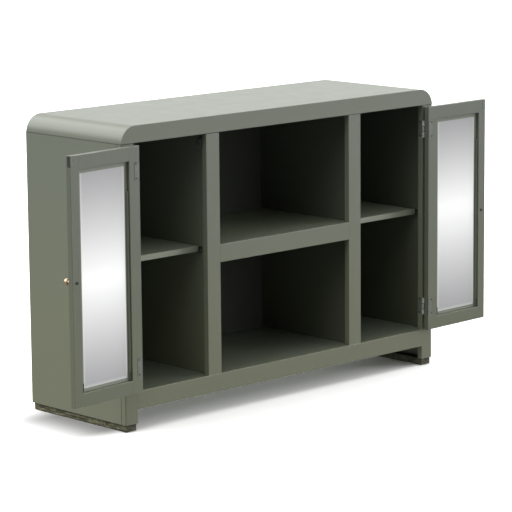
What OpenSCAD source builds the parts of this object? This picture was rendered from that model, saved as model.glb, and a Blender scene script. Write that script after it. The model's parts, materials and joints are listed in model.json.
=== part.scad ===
// Sideboard buffet: face-framed cabinet with rounded shoulders and two glazed inset doors.
// X runs along the width, Y from the front to the back, Z up from the floor. Millimetres.

/* [Cabinet] */
// Overall width of the cabinet body
cabinet_w = 1200; // [1000:1:1800]
// Overall depth of the cabinet body
cabinet_d = 395; // [300:1:560]
// Overall height above the floor
cabinet_h = 822; // [740:1:1000]
// Thickness of the side panels
side_t = 18; // [12:0.5:25]
// Thickness of the divider panels
divider_t = 18; // [12:0.5:25]
// Thickness of the flat top panel
top_panel_t = 18; // [12:0.5:30]
// Thickness of the bottom panel
bottom_panel_t = 18; // [12:0.5:30]
// Thickness of the fixed middle shelf
middle_shelf_t = 18; // [12:0.5:30]
// Thickness of the back panel
back_t = 8; // [4:0.5:12]
// Distance from the rear edges to the back panel
back_inset = 10; // [4:0.5:30]

/* [Front frame] */
// Thickness of the front frame members
frame_t = 17; // [16:0.5:25]
// Width of the corner stiles
corner_stile_w = 42.7; // [36:0.1:60]
// Width of the divider stiles
divider_stile_w = 47.3; // [30:0.1:70]
// Clear width between a corner stile and a divider stile
side_opening_w = 259.4; // [220:0.1:290]
// Height of the top rail and the shoulders
top_rail_h = 47; // [34:0.5:56]
// Radius of the shoulders
shoulder_r = 51; // [30:0.5:56]
// Height of the middle rail
middle_rail_h = 49.2; // [30:0.1:70]
// Height of the underside of the middle rail above the floor
middle_rail_z = 418.2; // [300:0.1:520]
// Height of the bottom rail
bottom_rail_h = 49.3; // [30:0.1:70]
// Height of the underside of the bottom rail above the floor
bottom_rail_z = 59.5; // [45:0.5:90]
// Radius on the outer front corner of the corner stiles
stile_round_r = 4; // [1:0.5:8]

/* [Foot skids] */
// Height of the foot skids
skid_h = 21; // [12:0.5:35]
// Width of the foot skids
skid_w = 35; // [20:0.5:40]
// Set-in of the skids from the sides of the cabinet
skid_side_inset = 5; // [0:0.5:12]
// Set-in of the skids from the front and the back
skid_end_inset = 4; // [0:0.5:20]
// Chamfer along the lower edges of the skids
skid_chamfer = 3; // [1:0.5:6]

/* [Side shelves] */
// Thickness of the side shelves
side_shelf_t = 15; // [12:0.5:22]
// Height of the top of the side shelves above the floor
side_shelf_z = 461.7; // [250:0.1:600]
// Distance from the cabinet front to the shelf edge
side_shelf_setback = 49; // [42:0.5:90]
// Clearance around the side shelves
side_shelf_gap = 0.8; // [0.3:0.1:2]
// Radius on the front corners of the side shelves
side_shelf_round_r = 3; // [1:0.5:8]
// Width of a shelf clip from front to back
clip_w = 12; // [8:0.5:20]
// Gap between a shelf clip and the shelf edge
clip_edge_gap = 0.3; // [0.1:0.1:1]
// Stand-off of a shelf clip from its panel
clip_proj = 9; // [6:0.5:14]
// Thickness of the shelf clip sheet
clip_t = 1.6; // [1:0.1:2.5]
// Length of the clip tongue that carries the shelf
clip_tongue_l = 16; // [8:0.5:30]
// Width of the window in a shelf clip
clip_window_w = 5; // [4:0.5:7]
// Height of the window in a shelf clip
clip_window_h = 8; // [5:0.5:9]
// Distance of a rear clip from the back of the shelf
rear_clip_inset = 30; // [10:1:80]

/* [Doors] */
// Thickness of the doors
door_t = 15; // [13:0.5:17]
// Gap at the hinge edge of a door
door_hinge_gap = 1.5; // [1.3:0.1:3]
// Gap at the free edge of a door
door_free_gap = 1.4; // [1:0.1:3]
// Gap above a door
door_top_gap = 3.2; // [1:0.1:5]
// Gap below a door
door_bottom_gap = 2.2; // [1:0.1:5]
// Width of the door stile at the hinges
door_hinge_stile_w = 39; // [30:0.5:60]
// Width of the door stile at the free edge
door_free_stile_w = 29.5; // [26:0.5:60]
// Height of the top rail of a door
door_top_rail_h = 37.5; // [32:0.5:70]
// Height of the bottom rail of a door
door_bottom_rail_h = 37; // [30:0.5:70]
// Width of the glazing lip around the opening
lip_w = 12; // [8:0.5:16]
// Thickness of the glazing lip
lip_t = 2.7; // [2:0.1:4]
// Opening angle of the left door as modelled
left_open_angle = 174.3; // [0:0.05:185]
// Opening angle of the right door as modelled
right_open_angle = 181.75; // [0:0.05:185]

/* [Glazing] */
// Thickness of the glass panes
pane_t = 4; // [3:0.5:5]
// Clearance around the edge of a pane
pane_gap = 0.5; // [0.2:0.1:1.5]
// Width of the glazing beads
bead_w = 6.5; // [4:0.5:8]
// Depth of the glazing beads
bead_t = 5; // [3:0.5:6]
// Clearance between a bead and the door frame
bead_gap = 0.4; // [0.2:0.1:1]
// Distance from the top of the recess to a bead
bead_top_drop = 80; // [10:1:120]
// Distance from the bottom of the recess to a bead clip
bead_bottom_rise = 2; // [1:0.5:40]
// Height of a bead clip
bead_clip_h = 23; // [12:1:40]
// Stand-off of a bead clip beyond the bead
bead_clip_proud = 1; // [0.5:0.1:1.6]
// Wall of a bead clip
bead_clip_wall = 1; // [0.6:0.1:1.5]

/* [Hinges] */
// Height of a hinge
hinge_h = 50; // [40:0.5:65]
// Radius of the hinge barrel
knuckle_r = 3.5; // [3:0.1:4.5]
// Radius of the hinge pin
pin_r = 1.5; // [1.2:0.05:1.8]
// Radial running clearance of the hinge pin
pin_clearance = 0.05; // [0.02:0.01:0.09]
// Gap between neighbouring knuckles
knuckle_gap = 0.3; // [0.1:0.1:0.6]
// Gap between the barrel and the front of the cabinet
barrel_gap = 0.3; // [0.2:0.1:1]
// Height of the middle knuckle
middle_knuckle_h = 15.6; // [12:0.1:22]
// Thickness of the hinge leaves
leaf_t = 1.2; // [1:0.1:1.6]
// Height that the leaves stand out of the wood
leaf_proud = 0.2; // [0.1:0.05:0.3]
// Width of the leaf on the corner stile
frame_leaf_w = 15; // [12:0.5:16]
// Width of the leaf on the door
door_leaf_w = 20; // [16:0.5:26]
// Distance of the upper hinge from the top of the door
hinge_top_drop = 66; // [45:0.5:120]
// Distance of the lower hinge from the bottom of the door
hinge_bottom_rise = 69.5; // [45:0.5:120]
// Radius of the head on a hinge pin
pin_head_r = 2.4; // [2:0.1:3]
// Height of the head on a hinge pin
pin_head_h = 0.8; // [0.4:0.1:1.5]
// Distance of a leaf screw from the ends of the leaf
leaf_screw_inset = 5.5; // [4.5:0.5:8]
// Distance of the screws from the front of the stile leaf
frame_leaf_screw_y = 9.5; // [6:0.5:10]
// Distance of the screws from the hinge edge of the door
door_leaf_screw_x = 13.5; // [6:0.5:15]

/* [Knobs] */
// Diameter of the knob head
knob_d = 18; // [12:0.5:30]
// Stand-off of the knob from the door
knob_proj = 26; // [18:0.5:36]
// Depth of the knob head
knob_head_h = 11; // [6:0.5:14]
// Rounding of the knob head
knob_round_r = 3; // [1:0.5:5]
// Diameter of the knob neck
knob_neck_d = 8; // [6:0.5:12]
// Diameter of the knob foot
knob_foot_d = 13; // [10:0.5:18]
// Thickness of the knob foot
knob_foot_h = 2; // [1:0.5:4]
// Distance of the knob from the free edge
knob_edge_x = 16; // [12:0.5:24]
// Height of the knob above the bottom of the door
knob_z = 330; // [120:1:500]
// Diameter of the knob screw
knob_screw_d = 4; // [3:0.5:5]
// Diameter of the head on the knob screw
knob_screw_head_d = 8; // [6:0.5:10]
// Height of the head on the knob screw
knob_screw_head_h = 2.2; // [1:0.1:3]
// Depth that the knob screw reaches into the knob
knob_screw_grip = 10; // [5:0.5:14]

/* [Catches] */
// Depth of a catch body from front to back
catch_d = 16; // [12:0.5:30]
// Height of a catch body
catch_h = 18; // [14:0.5:30]
// Stand-off of a catch body from its divider
catch_proj = 20.8; // [18:0.1:24]
// Distance from the top rail to a catch body
catch_drop = 14; // [6:0.5:16]
// Gap between the back of the stile and a catch body
catch_setback = 1.2; // [0.5:0.1:4]
// Gap between a closed door and the magnet poles
pole_gap = 0.6; // [0.4:0.1:1.5]
// Thickness of a magnet pole
pole_t = 1.5; // [1:0.1:3]
// Width of a magnet pole
pole_w = 4.2; // [3:0.1:5]
// Wall of the catch body beside a magnet pole
pole_wall = 0.5; // [0.3:0.1:1]
// Spacing of the two magnet poles
pole_pitch = 8; // [5:0.5:10]
// Length of a magnet pole inside the catch body
pole_sunk = 10; // [6:0.5:11]
// Height of the ear below a catch body
ear_h = 10; // [8:0.5:14]
// Thickness of the ear below a catch body
ear_t = 2; // [1:0.1:4]
// Thickness of the strike plates
strike_t = 1; // [0.8:0.1:1.5]
// Height that the strike plates stand out of the door
strike_proud = 0.15; // [0.1:0.05:0.3]
// Height of a strike plate
strike_h = 30; // [26:0.5:50]
// Width of a strike plate on the inner face
strike_face_w = 13.5; // [12.5:0.5:20]
// Width of a strike plate on the edge of the door
strike_edge_w = 11; // [6:0.5:12]
// Distance of the strike screw from the free edge
strike_screw_x = 9.5; // [7:0.5:9.5]
// Distance of the strike screw below the top of the door
strike_screw_drop = 11.5; // [8:0.5:20]

/* [Fasteners] */
// Radius of the head on a small countersunk screw
screw_head_r = 2.4; // [2.2:0.1:3]
// Height of the head on a small countersunk screw
screw_head_h = 1; // [0.8:0.1:1.4]
// Radius of the shank on a small countersunk screw
screw_r = 1.3; // [1:0.1:1.6]
// Length of a small countersunk screw
screw_l = 10; // [6:0.5:11]
// Clearance between a fastener and its hole
screw_fit = 0.1; // [0.05:0.05:0.2]
// Length of the cross recess
recess_l = 2.6; // [1.6:0.1:3]
// Width of the cross recess
recess_w = 0.6; // [0.4:0.1:0.8]
// Depth of the cross recess
recess_d = 0.6; // [0.4:0.1:1]
// Length of a back panel screw
back_screw_l = 24; // [18:0.5:34]
// Distance of the outer back screws from the ends of a divider
back_screw_end = 60; // [30:1:120]
// Number of screws down each divider
back_screws_per_divider = 3; // [2:1:6]

/* [Hidden] */
$fn = 48;

// Overshoot of a cutting tool past the face it opens
cut = 1;

paint = "#7C8074";
paint_dark = "#5F6359";
steel = "#8D8F8C";
steel_dark = "#4C4E4A";
brass = "#B98A4A";
glass = "#DCE6E4";
skid_wood = "#55553F";

// Heights
seam_z = cabinet_h - top_rail_h;
floor_z = bottom_rail_z + bottom_rail_h;
middle_z = middle_rail_z + middle_rail_h;
top_under_z = cabinet_h - top_panel_t;

// Depths
rear_y = cabinet_d - back_inset - back_t;
inner_d = rear_y - frame_t;

// Widths, from the middle of the cabinet outwards
half_w = cabinet_w / 2;
side_face_x = half_w - side_t;
corner_x = half_w - corner_stile_w;
divider_stile_x = corner_x - side_opening_w;
divider_x = divider_stile_x - divider_stile_w / 2 - divider_t / 2;
divider_face_x = divider_x + divider_t;

// Door
door_w = side_opening_w - door_hinge_gap - door_free_gap;
door_h = seam_z - floor_z - door_top_gap - door_bottom_gap;
door_z = floor_z + door_bottom_gap;
light_w = door_w - door_hinge_stile_w - door_free_stile_w;
light_h = door_h - door_top_rail_h - door_bottom_rail_h;
pane_face_y = lip_t + pane_t;
bead_z = door_bottom_rail_h + bead_bottom_rise + bead_clip_h;
bead_l = door_h - door_top_rail_h - bead_top_drop - bead_z;
pin_y = -knuckle_r - barrel_gap;
hinge_zs = [hinge_bottom_rise, door_h - hinge_top_drop];
leaf_sink = leaf_t - leaf_proud;
leaf_screw_zs = [leaf_screw_inset - hinge_h / 2, hinge_h / 2 - leaf_screw_inset];
strike_sink = strike_t - strike_proud;

// Shelf clip
clip_y = side_shelf_setback - clip_edge_gap - clip_w;
clip_shelf_z = side_shelf_z - side_shelf_t;

// The corners that a door and its knob carry round, from the pin
door_reach = [
    for (x = [door_hinge_gap, door_hinge_gap + door_w], y = [-pin_y, door_t - pin_y]) [x, y],
    for (s = [-1, 1])
        [door_hinge_gap + door_w - knob_edge_x + s * knob_d / 2, -pin_y - knob_proj]];
function turned_y(p, a) = pin_y - p[0] * sin(a) + p[1] * cos(a);
front_y = min([for (a = [left_open_angle, right_open_angle], p = door_reach) turned_y(p, a)]);
origin_y = (min(front_y, pin_y - knuckle_r) + cabinet_d) / 2;

// ---- Frames of reference ----

// The cabinet: origin on the floor, midway between the foremost point and the back
module cabinet() {
    translate([0, -origin_y, 0])
        children();
}

// Something on the right side of the cabinet, copied to the left
module left_side() {
    mirror([1, 0, 0])
        children();
}

// A door drawn closed on the left, X from its hinge edge, Y from its outer face
module hung(angle) {
    translate([-corner_x, pin_y, door_z])
        rotate([0, 0, -angle])
            translate([door_hinge_gap, -pin_y, 0])
                children();
}

module left_door() {
    cabinet()
        hung(left_open_angle)
            children();
}

module right_door() {
    cabinet()
        mirror([1, 0, 0])
            hung(right_open_angle)
                children();
}

// Each hinge of a cabinet side, from the middle of its pin; drawn for the right side
module at_frame_hinges() {
    for (side = [0, 1])
        mirror([side, 0, 0])
            for (z = hinge_zs)
                translate([corner_x, pin_y, door_z + z])
                    children();
}

// ---- Fasteners ----

// Countersunk screw pointing down, its head flush at the origin
module screw(l = screw_l, head_r = screw_head_r, head_h = screw_head_h, r = screw_r) {
    difference() {
        union() {
            translate([0, 0, -head_h])
                cylinder(h = head_h, r1 = r, r2 = head_r);
            translate([0, 0, -l])
                cylinder(h = l - head_h, r = r);
        }
        cross_recess();
    }
}

// Cross recess cut down from the origin
module cross_recess() {
    for (turn = [0, 90])
        rotate([0, 0, turn])
            translate([-recess_l / 2, -recess_w / 2, -recess_d])
                cube([recess_l, recess_w, recess_d + cut]);
}

// Room for a countersunk screw and its clearance
module screw_hole(l = screw_l, head_r = screw_head_r, head_h = screw_head_h, r = screw_r) {
    translate([0, 0, -head_h])
        cylinder(h = head_h, r1 = r + screw_fit, r2 = head_r + screw_fit);
    translate([0, 0, -l - screw_fit])
        cylinder(h = l + screw_fit, r = r + screw_fit);
}

// ---- Top ----

// Front outline of the top rail and shoulders, from its lower edge
module top_outline() {
    intersection() {
        translate([-half_w, 0])
            square([cabinet_w, top_rail_h]);
        union() {
            translate([-half_w, -shoulder_r])
                square([cabinet_w, top_rail_h]);
            translate([shoulder_r - half_w, -shoulder_r])
                square([cabinet_w - 2 * shoulder_r, top_rail_h + shoulder_r]);
            for (side = [-1, 1])
                translate([side * (half_w - shoulder_r), top_rail_h - shoulder_r])
                    circle(r = shoulder_r);
        }
    }
}

// Any outline drawn in X and Z, extruded backwards from the front
module run_back(from_y, to_y) {
    translate([0, to_y, 0])
        rotate([90, 0, 0])
            linear_extrude(height = to_y - from_y)
                children();
}

module top_rail() {
    color(paint)
        cabinet()
            translate([0, 0, seam_z])
                run_back(0, frame_t)
                    top_outline();
}

// Rounded shoulder above the right side panel
module shoulder() {
    translate([0, 0, seam_z])
        run_back(frame_t, cabinet_d)
            intersection() {
                top_outline();
                translate([half_w - shoulder_r, 0])
                    square([shoulder_r, top_rail_h]);
            }
}

module left_shoulder() {
    color(paint)
        cabinet()
            left_side()
                shoulder();
}

module right_shoulder() {
    color(paint)
        cabinet()
            shoulder();
}

module top_panel() {
    color(paint)
        cabinet()
            translate([shoulder_r - half_w, frame_t, top_under_z])
                cube([cabinet_w - 2 * shoulder_r, cabinet_d - frame_t, top_panel_t]);
}

// ---- Carcass ----

// Right side panel, drilled for the shelf clips
module side_panel() {
    difference() {
        translate([side_face_x, frame_t, skid_h])
            cube([side_t, cabinet_d - frame_t, seam_z - skid_h]);
        clip_screw_places(side_face_x, 1)
            screw_hole();
    }
}

module left_side_panel() {
    color(paint)
        cabinet()
            left_side()
                side_panel();
}

module right_side_panel() {
    color(paint)
        cabinet()
            side_panel();
}

// Holes in a divider panel for the shelf clips, the catch and the back screws
module divider_panel() {
    difference() {
        translate([divider_x, frame_t, floor_z])
            cube([divider_t, inner_d, top_under_z - floor_z]);
        clip_screw_places(divider_face_x, 0)
            screw_hole();
        catch_screw_place()
            screw_hole();
        back_screw_places()
            screw_hole(l = back_screw_l);
    }
}

module left_divider_panel() {
    color(paint)
        cabinet()
            left_side()
                divider_panel();
}

module right_divider_panel() {
    color(paint)
        cabinet()
            divider_panel();
}

module bottom_panel() {
    color(paint)
        cabinet()
            translate([-side_face_x, frame_t, floor_z - bottom_panel_t])
                cube([2 * side_face_x, inner_d, bottom_panel_t]);
}

module middle_shelf() {
    color(paint)
        cabinet()
            translate([-divider_x, frame_t, middle_z - middle_shelf_t])
                cube([2 * divider_x, inner_d, middle_shelf_t]);
}

// Back panel, notched at its upper corners round the shoulders
module back_panel() {
    color(paint_dark)
        cabinet()
            difference() {
                translate([-side_face_x, rear_y, floor_z - bottom_panel_t])
                    cube([2 * side_face_x, back_t, top_under_z - floor_z + bottom_panel_t]);
                for (side = [0, 1])
                    mirror([side, 0, 0])
                        translate([half_w - shoulder_r, rear_y - cut, seam_z])
                            cube([shoulder_r, back_t + 2 * cut, top_rail_h]);
                both_sides()
                    back_screw_places()
                        screw_hole(l = back_screw_l);
            }
}

// The right side and its mirror image
module both_sides() {
    for (side = [0, 1])
        mirror([side, 0, 0])
            children();
}

// Back screws down the right divider, heads flush with the back panel
module back_screw_places() {
    span = top_under_z - floor_z - 2 * back_screw_end;
    for (i = [0 : back_screws_per_divider - 1])
        translate([divider_x + divider_t / 2, rear_y + back_t,
                floor_z + back_screw_end + i * span / (back_screws_per_divider - 1)])
            rotate([-90, 0, 0])
                children();
}

module back_panel_screws() {
    color(steel)
        cabinet()
            both_sides()
                back_screw_places()
                    screw(l = back_screw_l);
}

// ---- Front frame ----

// Corner stile on the right, its outer front edge rounded, mortised for the hinge leaves
module corner_stile() {
    difference() {
        translate([corner_x, 0, skid_h])
            linear_extrude(height = seam_z - skid_h)
                union() {
                    square([corner_stile_w - stile_round_r, frame_t]);
                    translate([0, stile_round_r])
                        square([corner_stile_w, frame_t - stile_round_r]);
                    translate([corner_stile_w - stile_round_r, stile_round_r])
                        circle(r = stile_round_r);
                }
        for (z = hinge_zs)
            translate([corner_x, pin_y, door_z + z]) {
                translate([-cut, -pin_y - cut, -hinge_h / 2])
                    cube([leaf_sink + cut, frame_leaf_w + cut, hinge_h]);
                frame_screw_places()
                    screw_hole();
            }
    }
}

module left_corner_stile() {
    color(paint)
        cabinet()
            left_side()
                corner_stile();
}

module right_corner_stile() {
    color(paint)
        cabinet()
            corner_stile();
}

module divider_stile() {
    translate([divider_stile_x - divider_stile_w, 0, floor_z])
        cube([divider_stile_w, frame_t, seam_z - floor_z]);
}

module left_divider_stile() {
    color(paint)
        cabinet()
            left_side()
                divider_stile();
}

module right_divider_stile() {
    color(paint)
        cabinet()
            divider_stile();
}

module bottom_rail() {
    color(paint)
        cabinet()
            translate([-corner_x, 0, bottom_rail_z])
                cube([2 * corner_x, frame_t, bottom_rail_h]);
}

module middle_rail() {
    half = divider_stile_x - divider_stile_w;
    color(paint)
        cabinet()
            translate([-half, 0, middle_rail_z])
                cube([2 * half, frame_t, middle_rail_h]);
}

// ---- Foot skids ----

// Bar section with its two lower edges chamfered
module skid_outline(w) {
    polygon([[0, skid_chamfer], [skid_chamfer, 0], [w - skid_chamfer, 0], [w, skid_chamfer],
        [w, skid_h], [0, skid_h]]);
}

module foot_skid() {
    run = cabinet_d - 2 * skid_end_inset;
    translate([half_w - skid_side_inset - skid_w, skid_end_inset, 0])
        intersection() {
            run_back(0, run)
                skid_outline(skid_w);
            rotate([90, 0, 90])
                linear_extrude(height = skid_w)
                    skid_outline(run);
        }
}

module left_foot_skid() {
    color(skid_wood)
        cabinet()
            left_side()
                foot_skid();
}

module right_foot_skid() {
    color(skid_wood)
        cabinet()
            foot_skid();
}

// ---- Side shelves ----

module side_shelf() {
    w = side_face_x - divider_face_x - 2 * side_shelf_gap;
    d = rear_y - side_shelf_setback - side_shelf_gap;
    r = side_shelf_round_r;
    translate([divider_face_x + side_shelf_gap, side_shelf_setback, clip_shelf_z])
        linear_extrude(height = side_shelf_t)
            union() {
                translate([0, r])
                    square([w, d - r]);
                translate([r, 0])
                    square([w - 2 * r, r]);
                for (x = [r, w - r])
                    translate([x, r])
                        circle(r = r);
            }
}

module left_side_shelf() {
    color(paint)
        cabinet()
            left_side()
                side_shelf();
}

module right_side_shelf() {
    color(paint)
        cabinet()
            side_shelf();
}

// Where the clips stand on a panel face; flip is 1 on a face that looks to the middle
module at_front_clip(face_x, flip) {
    translate([face_x, clip_y, clip_shelf_z])
        mirror([flip, 0, 0])
            children();
}

module at_rear_clip(face_x, flip) {
    translate([face_x, rear_y - side_shelf_gap - rear_clip_inset - clip_w, clip_shelf_z])
        mirror([flip, 0, 0])
            children();
}

// Arched plate in front of the shelf, with a tongue that runs under it
module front_clip() {
    difference() {
        translate([0, 0, -clip_t])
            cube([clip_t, clip_w, side_shelf_t + clip_t]);
        translate([-cut, (clip_w - clip_window_w) / 2, 0])
            cube([clip_t + 2 * cut, clip_window_w, clip_window_h]);
        front_clip_screw()
            screw_hole();
    }
    translate([0, 0, -clip_t])
        cube([clip_proj, clip_w + clip_tongue_l, clip_t]);
}

// Angle under the back of the shelf
module rear_clip() {
    difference() {
        translate([0, 0, -side_shelf_t])
            cube([clip_t, clip_w, side_shelf_t]);
        rear_clip_screw()
            screw_hole();
    }
    translate([0, 0, -clip_t])
        cube([clip_proj, clip_w, clip_t]);
}

// The screw of a clip, its head flush with the plate
module front_clip_screw() {
    translate([clip_t, clip_w / 2, (side_shelf_t + clip_window_h) / 2])
        rotate([0, 90, 0])
            children();
}

module rear_clip_screw() {
    translate([clip_t, clip_w / 2, -(side_shelf_t + clip_t) / 2])
        rotate([0, 90, 0])
            children();
}

// Both clip screws in the panel face at face_x
module clip_screw_places(face_x, flip) {
    at_front_clip(face_x, flip)
        front_clip_screw()
            children();
    at_rear_clip(face_x, flip)
        rear_clip_screw()
            children();
}

module shelf_clips() {
    color(steel_dark)
        cabinet()
            both_sides() {
                at_front_clip(divider_face_x, 0)
                    front_clip();
                at_front_clip(side_face_x, 1)
                    front_clip();
                at_rear_clip(divider_face_x, 0)
                    rear_clip();
                at_rear_clip(side_face_x, 1)
                    rear_clip();
            }
}

module shelf_clip_screws() {
    color(steel)
        cabinet()
            both_sides() {
                clip_screw_places(divider_face_x, 0)
                    screw();
                clip_screw_places(side_face_x, 1)
                    screw();
            }
}

// ---- Catches ----

// The lower front corner of the catch body on the right divider
module at_catch() {
    translate([divider_face_x, frame_t + catch_setback, seam_z - catch_drop - catch_h])
        children();
}

module catch_poles() {
    pole_y = door_t + pole_gap - frame_t - catch_setback;
    at_catch()
        for (side = [-1, 1])
            translate([catch_proj - pole_wall - pole_w, pole_y,
                    (catch_h + side * pole_pitch - pole_t) / 2])
                cube([pole_w, pole_sunk - pole_y, pole_t]);
}

module catch_body() {
    difference() {
        at_catch() {
            cube([catch_proj, catch_d, catch_h]);
            translate([0, 0, -ear_h])
                cube([ear_t, catch_d, ear_h]);
        }
        catch_poles();
        catch_screw_place()
            screw_hole();
    }
}

// The screw through the ear of a catch
module catch_screw_place() {
    at_catch()
        translate([ear_t, catch_d / 2, -ear_h / 2])
            rotate([0, 90, 0])
                children();
}

module catch_bodies() {
    color(steel_dark)
        cabinet()
            both_sides()
                catch_body();
}

module catch_magnets() {
    color(steel)
        cabinet()
            both_sides()
                catch_poles();
}

module catch_screws() {
    color(steel)
        cabinet()
            both_sides()
                catch_screw_place()
                    screw();
}

// ---- Hinges ----

// Barrel segment round the pin, between two heights
module knuckle(from_z, to_z) {
    translate([0, 0, from_z])
        cylinder(h = to_z - from_z, r = knuckle_r);
}

module pin_bore() {
    translate([0, 0, -hinge_h])
        cylinder(h = 2 * hinge_h, r = pin_r + pin_clearance);
}

// Leaf let into the inner edge of the right corner stile, with its two outer knuckles
module frame_leaf() {
    inner_z = middle_knuckle_h / 2 + knuckle_gap;
    difference() {
        union() {
            translate([-leaf_proud, 0, -hinge_h / 2])
                cube([leaf_t, frame_leaf_w - pin_y, hinge_h]);
            knuckle(inner_z, hinge_h / 2);
            knuckle(-hinge_h / 2, -inner_z);
        }
        pin_bore();
        translate([0, 0, -inner_z])
            cylinder(h = 2 * inner_z, r = knuckle_r + knuckle_gap);
        frame_screw_places()
            screw_hole();
    }
}

// Screws through a stile leaf, from the middle of the pin
module frame_screw_places() {
    for (z = leaf_screw_zs)
        translate([-leaf_proud, frame_leaf_screw_y - pin_y, z])
            rotate([0, -90, 0])
                children();
}

module frame_hinge_leaves() {
    color(steel)
        cabinet()
            at_frame_hinges()
                frame_leaf();
}

module frame_leaf_screws() {
    color(steel)
        cabinet()
            at_frame_hinges()
                frame_screw_places()
                    screw();
}

module hinge_pins() {
    color(steel)
        cabinet()
            at_frame_hinges() {
                translate([0, 0, -hinge_h / 2])
                    cylinder(h = hinge_h, r = pin_r);
                translate([0, 0, hinge_h / 2])
                    cylinder(h = pin_head_h, r = pin_head_r);
            }
}

// Each hinge of a door, from the middle of its pin
module at_door_hinges() {
    for (z = hinge_zs)
        translate([-door_hinge_gap, pin_y, z])
            children();
}

// Neck along the edge of the door and the wide leaf on its inner face
module door_leaf_blank() {
    translate([-leaf_proud, pin_y, -middle_knuckle_h / 2])
        cube([leaf_t, door_t + leaf_proud - pin_y, middle_knuckle_h]);
    translate([0, door_t - leaf_sink, -hinge_h / 2])
        cube([door_leaf_w, leaf_t, hinge_h]);
}

// Screws through a door leaf, from the hinge edge of the door
module door_screw_places() {
    for (z = leaf_screw_zs)
        translate([door_leaf_screw_x, door_t + leaf_proud, z])
            rotate([-90, 0, 0])
                children();
}

module door_leaf() {
    difference() {
        union() {
            door_leaf_blank();
            translate([-door_hinge_gap, pin_y, 0])
                knuckle(-middle_knuckle_h / 2, middle_knuckle_h / 2);
        }
        translate([-door_hinge_gap, pin_y, 0])
            pin_bore();
        door_screw_places()
            screw_hole();
    }
}

module door_leaves() {
    for (z = hinge_zs)
        translate([0, 0, z])
            door_leaf();
}

module door_leaf_screws() {
    for (z = hinge_zs)
        translate([0, 0, z])
            door_screw_places()
                screw();
}

// ---- Doors, drawn closed: X from the hinge edge, Y from the outer face, Z from the bottom ----

module door_hinge_stile() {
    difference() {
        union() {
            cube([door_hinge_stile_w, door_t, door_h]);
            translate([door_hinge_stile_w, 0, door_bottom_rail_h])
                cube([lip_w, lip_t, light_h]);
        }
        for (z = hinge_zs)
            translate([0, 0, z]) {
                door_leaf_blank();
                door_screw_places()
                    screw_hole();
            }
    }
}

module door_free_stile() {
    difference() {
        union() {
            translate([door_w - door_free_stile_w, 0, 0])
                cube([door_free_stile_w, door_t, door_h]);
            translate([door_w - door_free_stile_w - lip_w, 0, door_bottom_rail_h])
                cube([lip_w, lip_t, light_h]);
        }
        strike_blank();
        strike_screw_place()
            screw_hole();
        knob_screw_place()
            translate([0, 0, -door_t - cut])
                cylinder(h = door_t + 2 * cut, r = knob_screw_d / 2 + screw_fit);
    }
}

module door_top_rail() {
    translate([door_hinge_stile_w, 0, door_h - door_top_rail_h])
        cube([light_w, door_t, door_top_rail_h]);
    translate([door_hinge_stile_w + lip_w, 0, door_h - door_top_rail_h - lip_w])
        cube([light_w - 2 * lip_w, lip_t, lip_w]);
}

module door_bottom_rail() {
    translate([door_hinge_stile_w, 0, 0])
        cube([light_w, door_t, door_bottom_rail_h]);
    translate([door_hinge_stile_w + lip_w, 0, door_bottom_rail_h])
        cube([light_w - 2 * lip_w, lip_t, lip_w]);
}

module door_pane() {
    translate([door_hinge_stile_w + pane_gap, lip_t, door_bottom_rail_h + pane_gap])
        cube([light_w - 2 * pane_gap, pane_t, light_h - 2 * pane_gap]);
}

// The two upright strips that hold a pane against its lip
module at_beads() {
    for (x = [door_hinge_stile_w + bead_gap, door_w - door_free_stile_w - bead_gap - bead_w])
        translate([x, pane_face_y, 0])
            children();
}

module door_beads() {
    at_beads()
        translate([0, 0, bead_z])
            cube([bead_w, bead_t, bead_l]);
}

// Pocketed clip under the foot of each bead
module door_bead_clips() {
    at_beads()
        translate([0, 0, bead_z - bead_clip_h])
            difference() {
                cube([bead_w, bead_t + bead_clip_proud, bead_clip_h]);
                translate([bead_clip_wall, bead_clip_wall, bead_clip_wall])
                    cube([bead_w - 2 * bead_clip_wall, bead_t + bead_clip_proud,
                        bead_clip_h - 2 * bead_clip_wall]);
            }
}

// ---- Knobs ----

module knob_screw_place() {
    translate([door_w - knob_edge_x, door_t, knob_z])
        rotate([-90, 0, 0])
            children();
}

// Half section of the knob, from the face of the door
module knob_section() {
    head_z = knob_proj - knob_head_h;
    head_r = knob_d / 2;
    union() {
        square([knob_foot_d / 2, knob_foot_h]);
        square([knob_neck_d / 2, head_z + knob_round_r]);
        translate([0, head_z])
            square([head_r - knob_round_r, knob_head_h]);
        translate([0, head_z + knob_round_r])
            square([head_r, knob_head_h - 2 * knob_round_r]);
        for (z = [head_z + knob_round_r, knob_proj - knob_round_r])
            translate([head_r - knob_round_r, z])
                circle(r = knob_round_r);
    }
}

module door_knob() {
    translate([door_w - knob_edge_x, 0, knob_z])
        rotate([90, 0, 0])
            difference() {
                rotate_extrude()
                    knob_section();
                translate([0, 0, -cut])
                    cylinder(h = knob_screw_grip + 2 * cut, r = knob_screw_d / 2 + screw_fit);
            }
}

module door_knob_screw() {
    knob_screw_place()
        difference() {
            union() {
                cylinder(h = knob_screw_head_h, r = knob_screw_head_d / 2);
                translate([0, 0, -door_t - knob_screw_grip])
                    cylinder(h = door_t + knob_screw_grip, r = knob_screw_d / 2);
            }
            translate([0, 0, knob_screw_head_h])
                cross_recess();
        }
}

// ---- Strike plates ----

// Bent plate over the inner corner of the free edge
module strike_blank() {
    translate([door_w - strike_sink, door_t - strike_edge_w, door_h - strike_h])
        cube([strike_t, strike_edge_w + strike_proud, strike_h]);
    translate([door_w - strike_face_w, door_t - strike_sink, door_h - strike_h])
        cube([strike_face_w + strike_proud, strike_t, strike_h]);
}

module strike_screw_place() {
    translate([door_w - strike_screw_x, door_t + strike_proud, door_h - strike_screw_drop])
        rotate([-90, 0, 0])
            children();
}

module door_strike() {
    difference() {
        strike_blank();
        strike_screw_place()
            screw_hole();
    }
}

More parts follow.
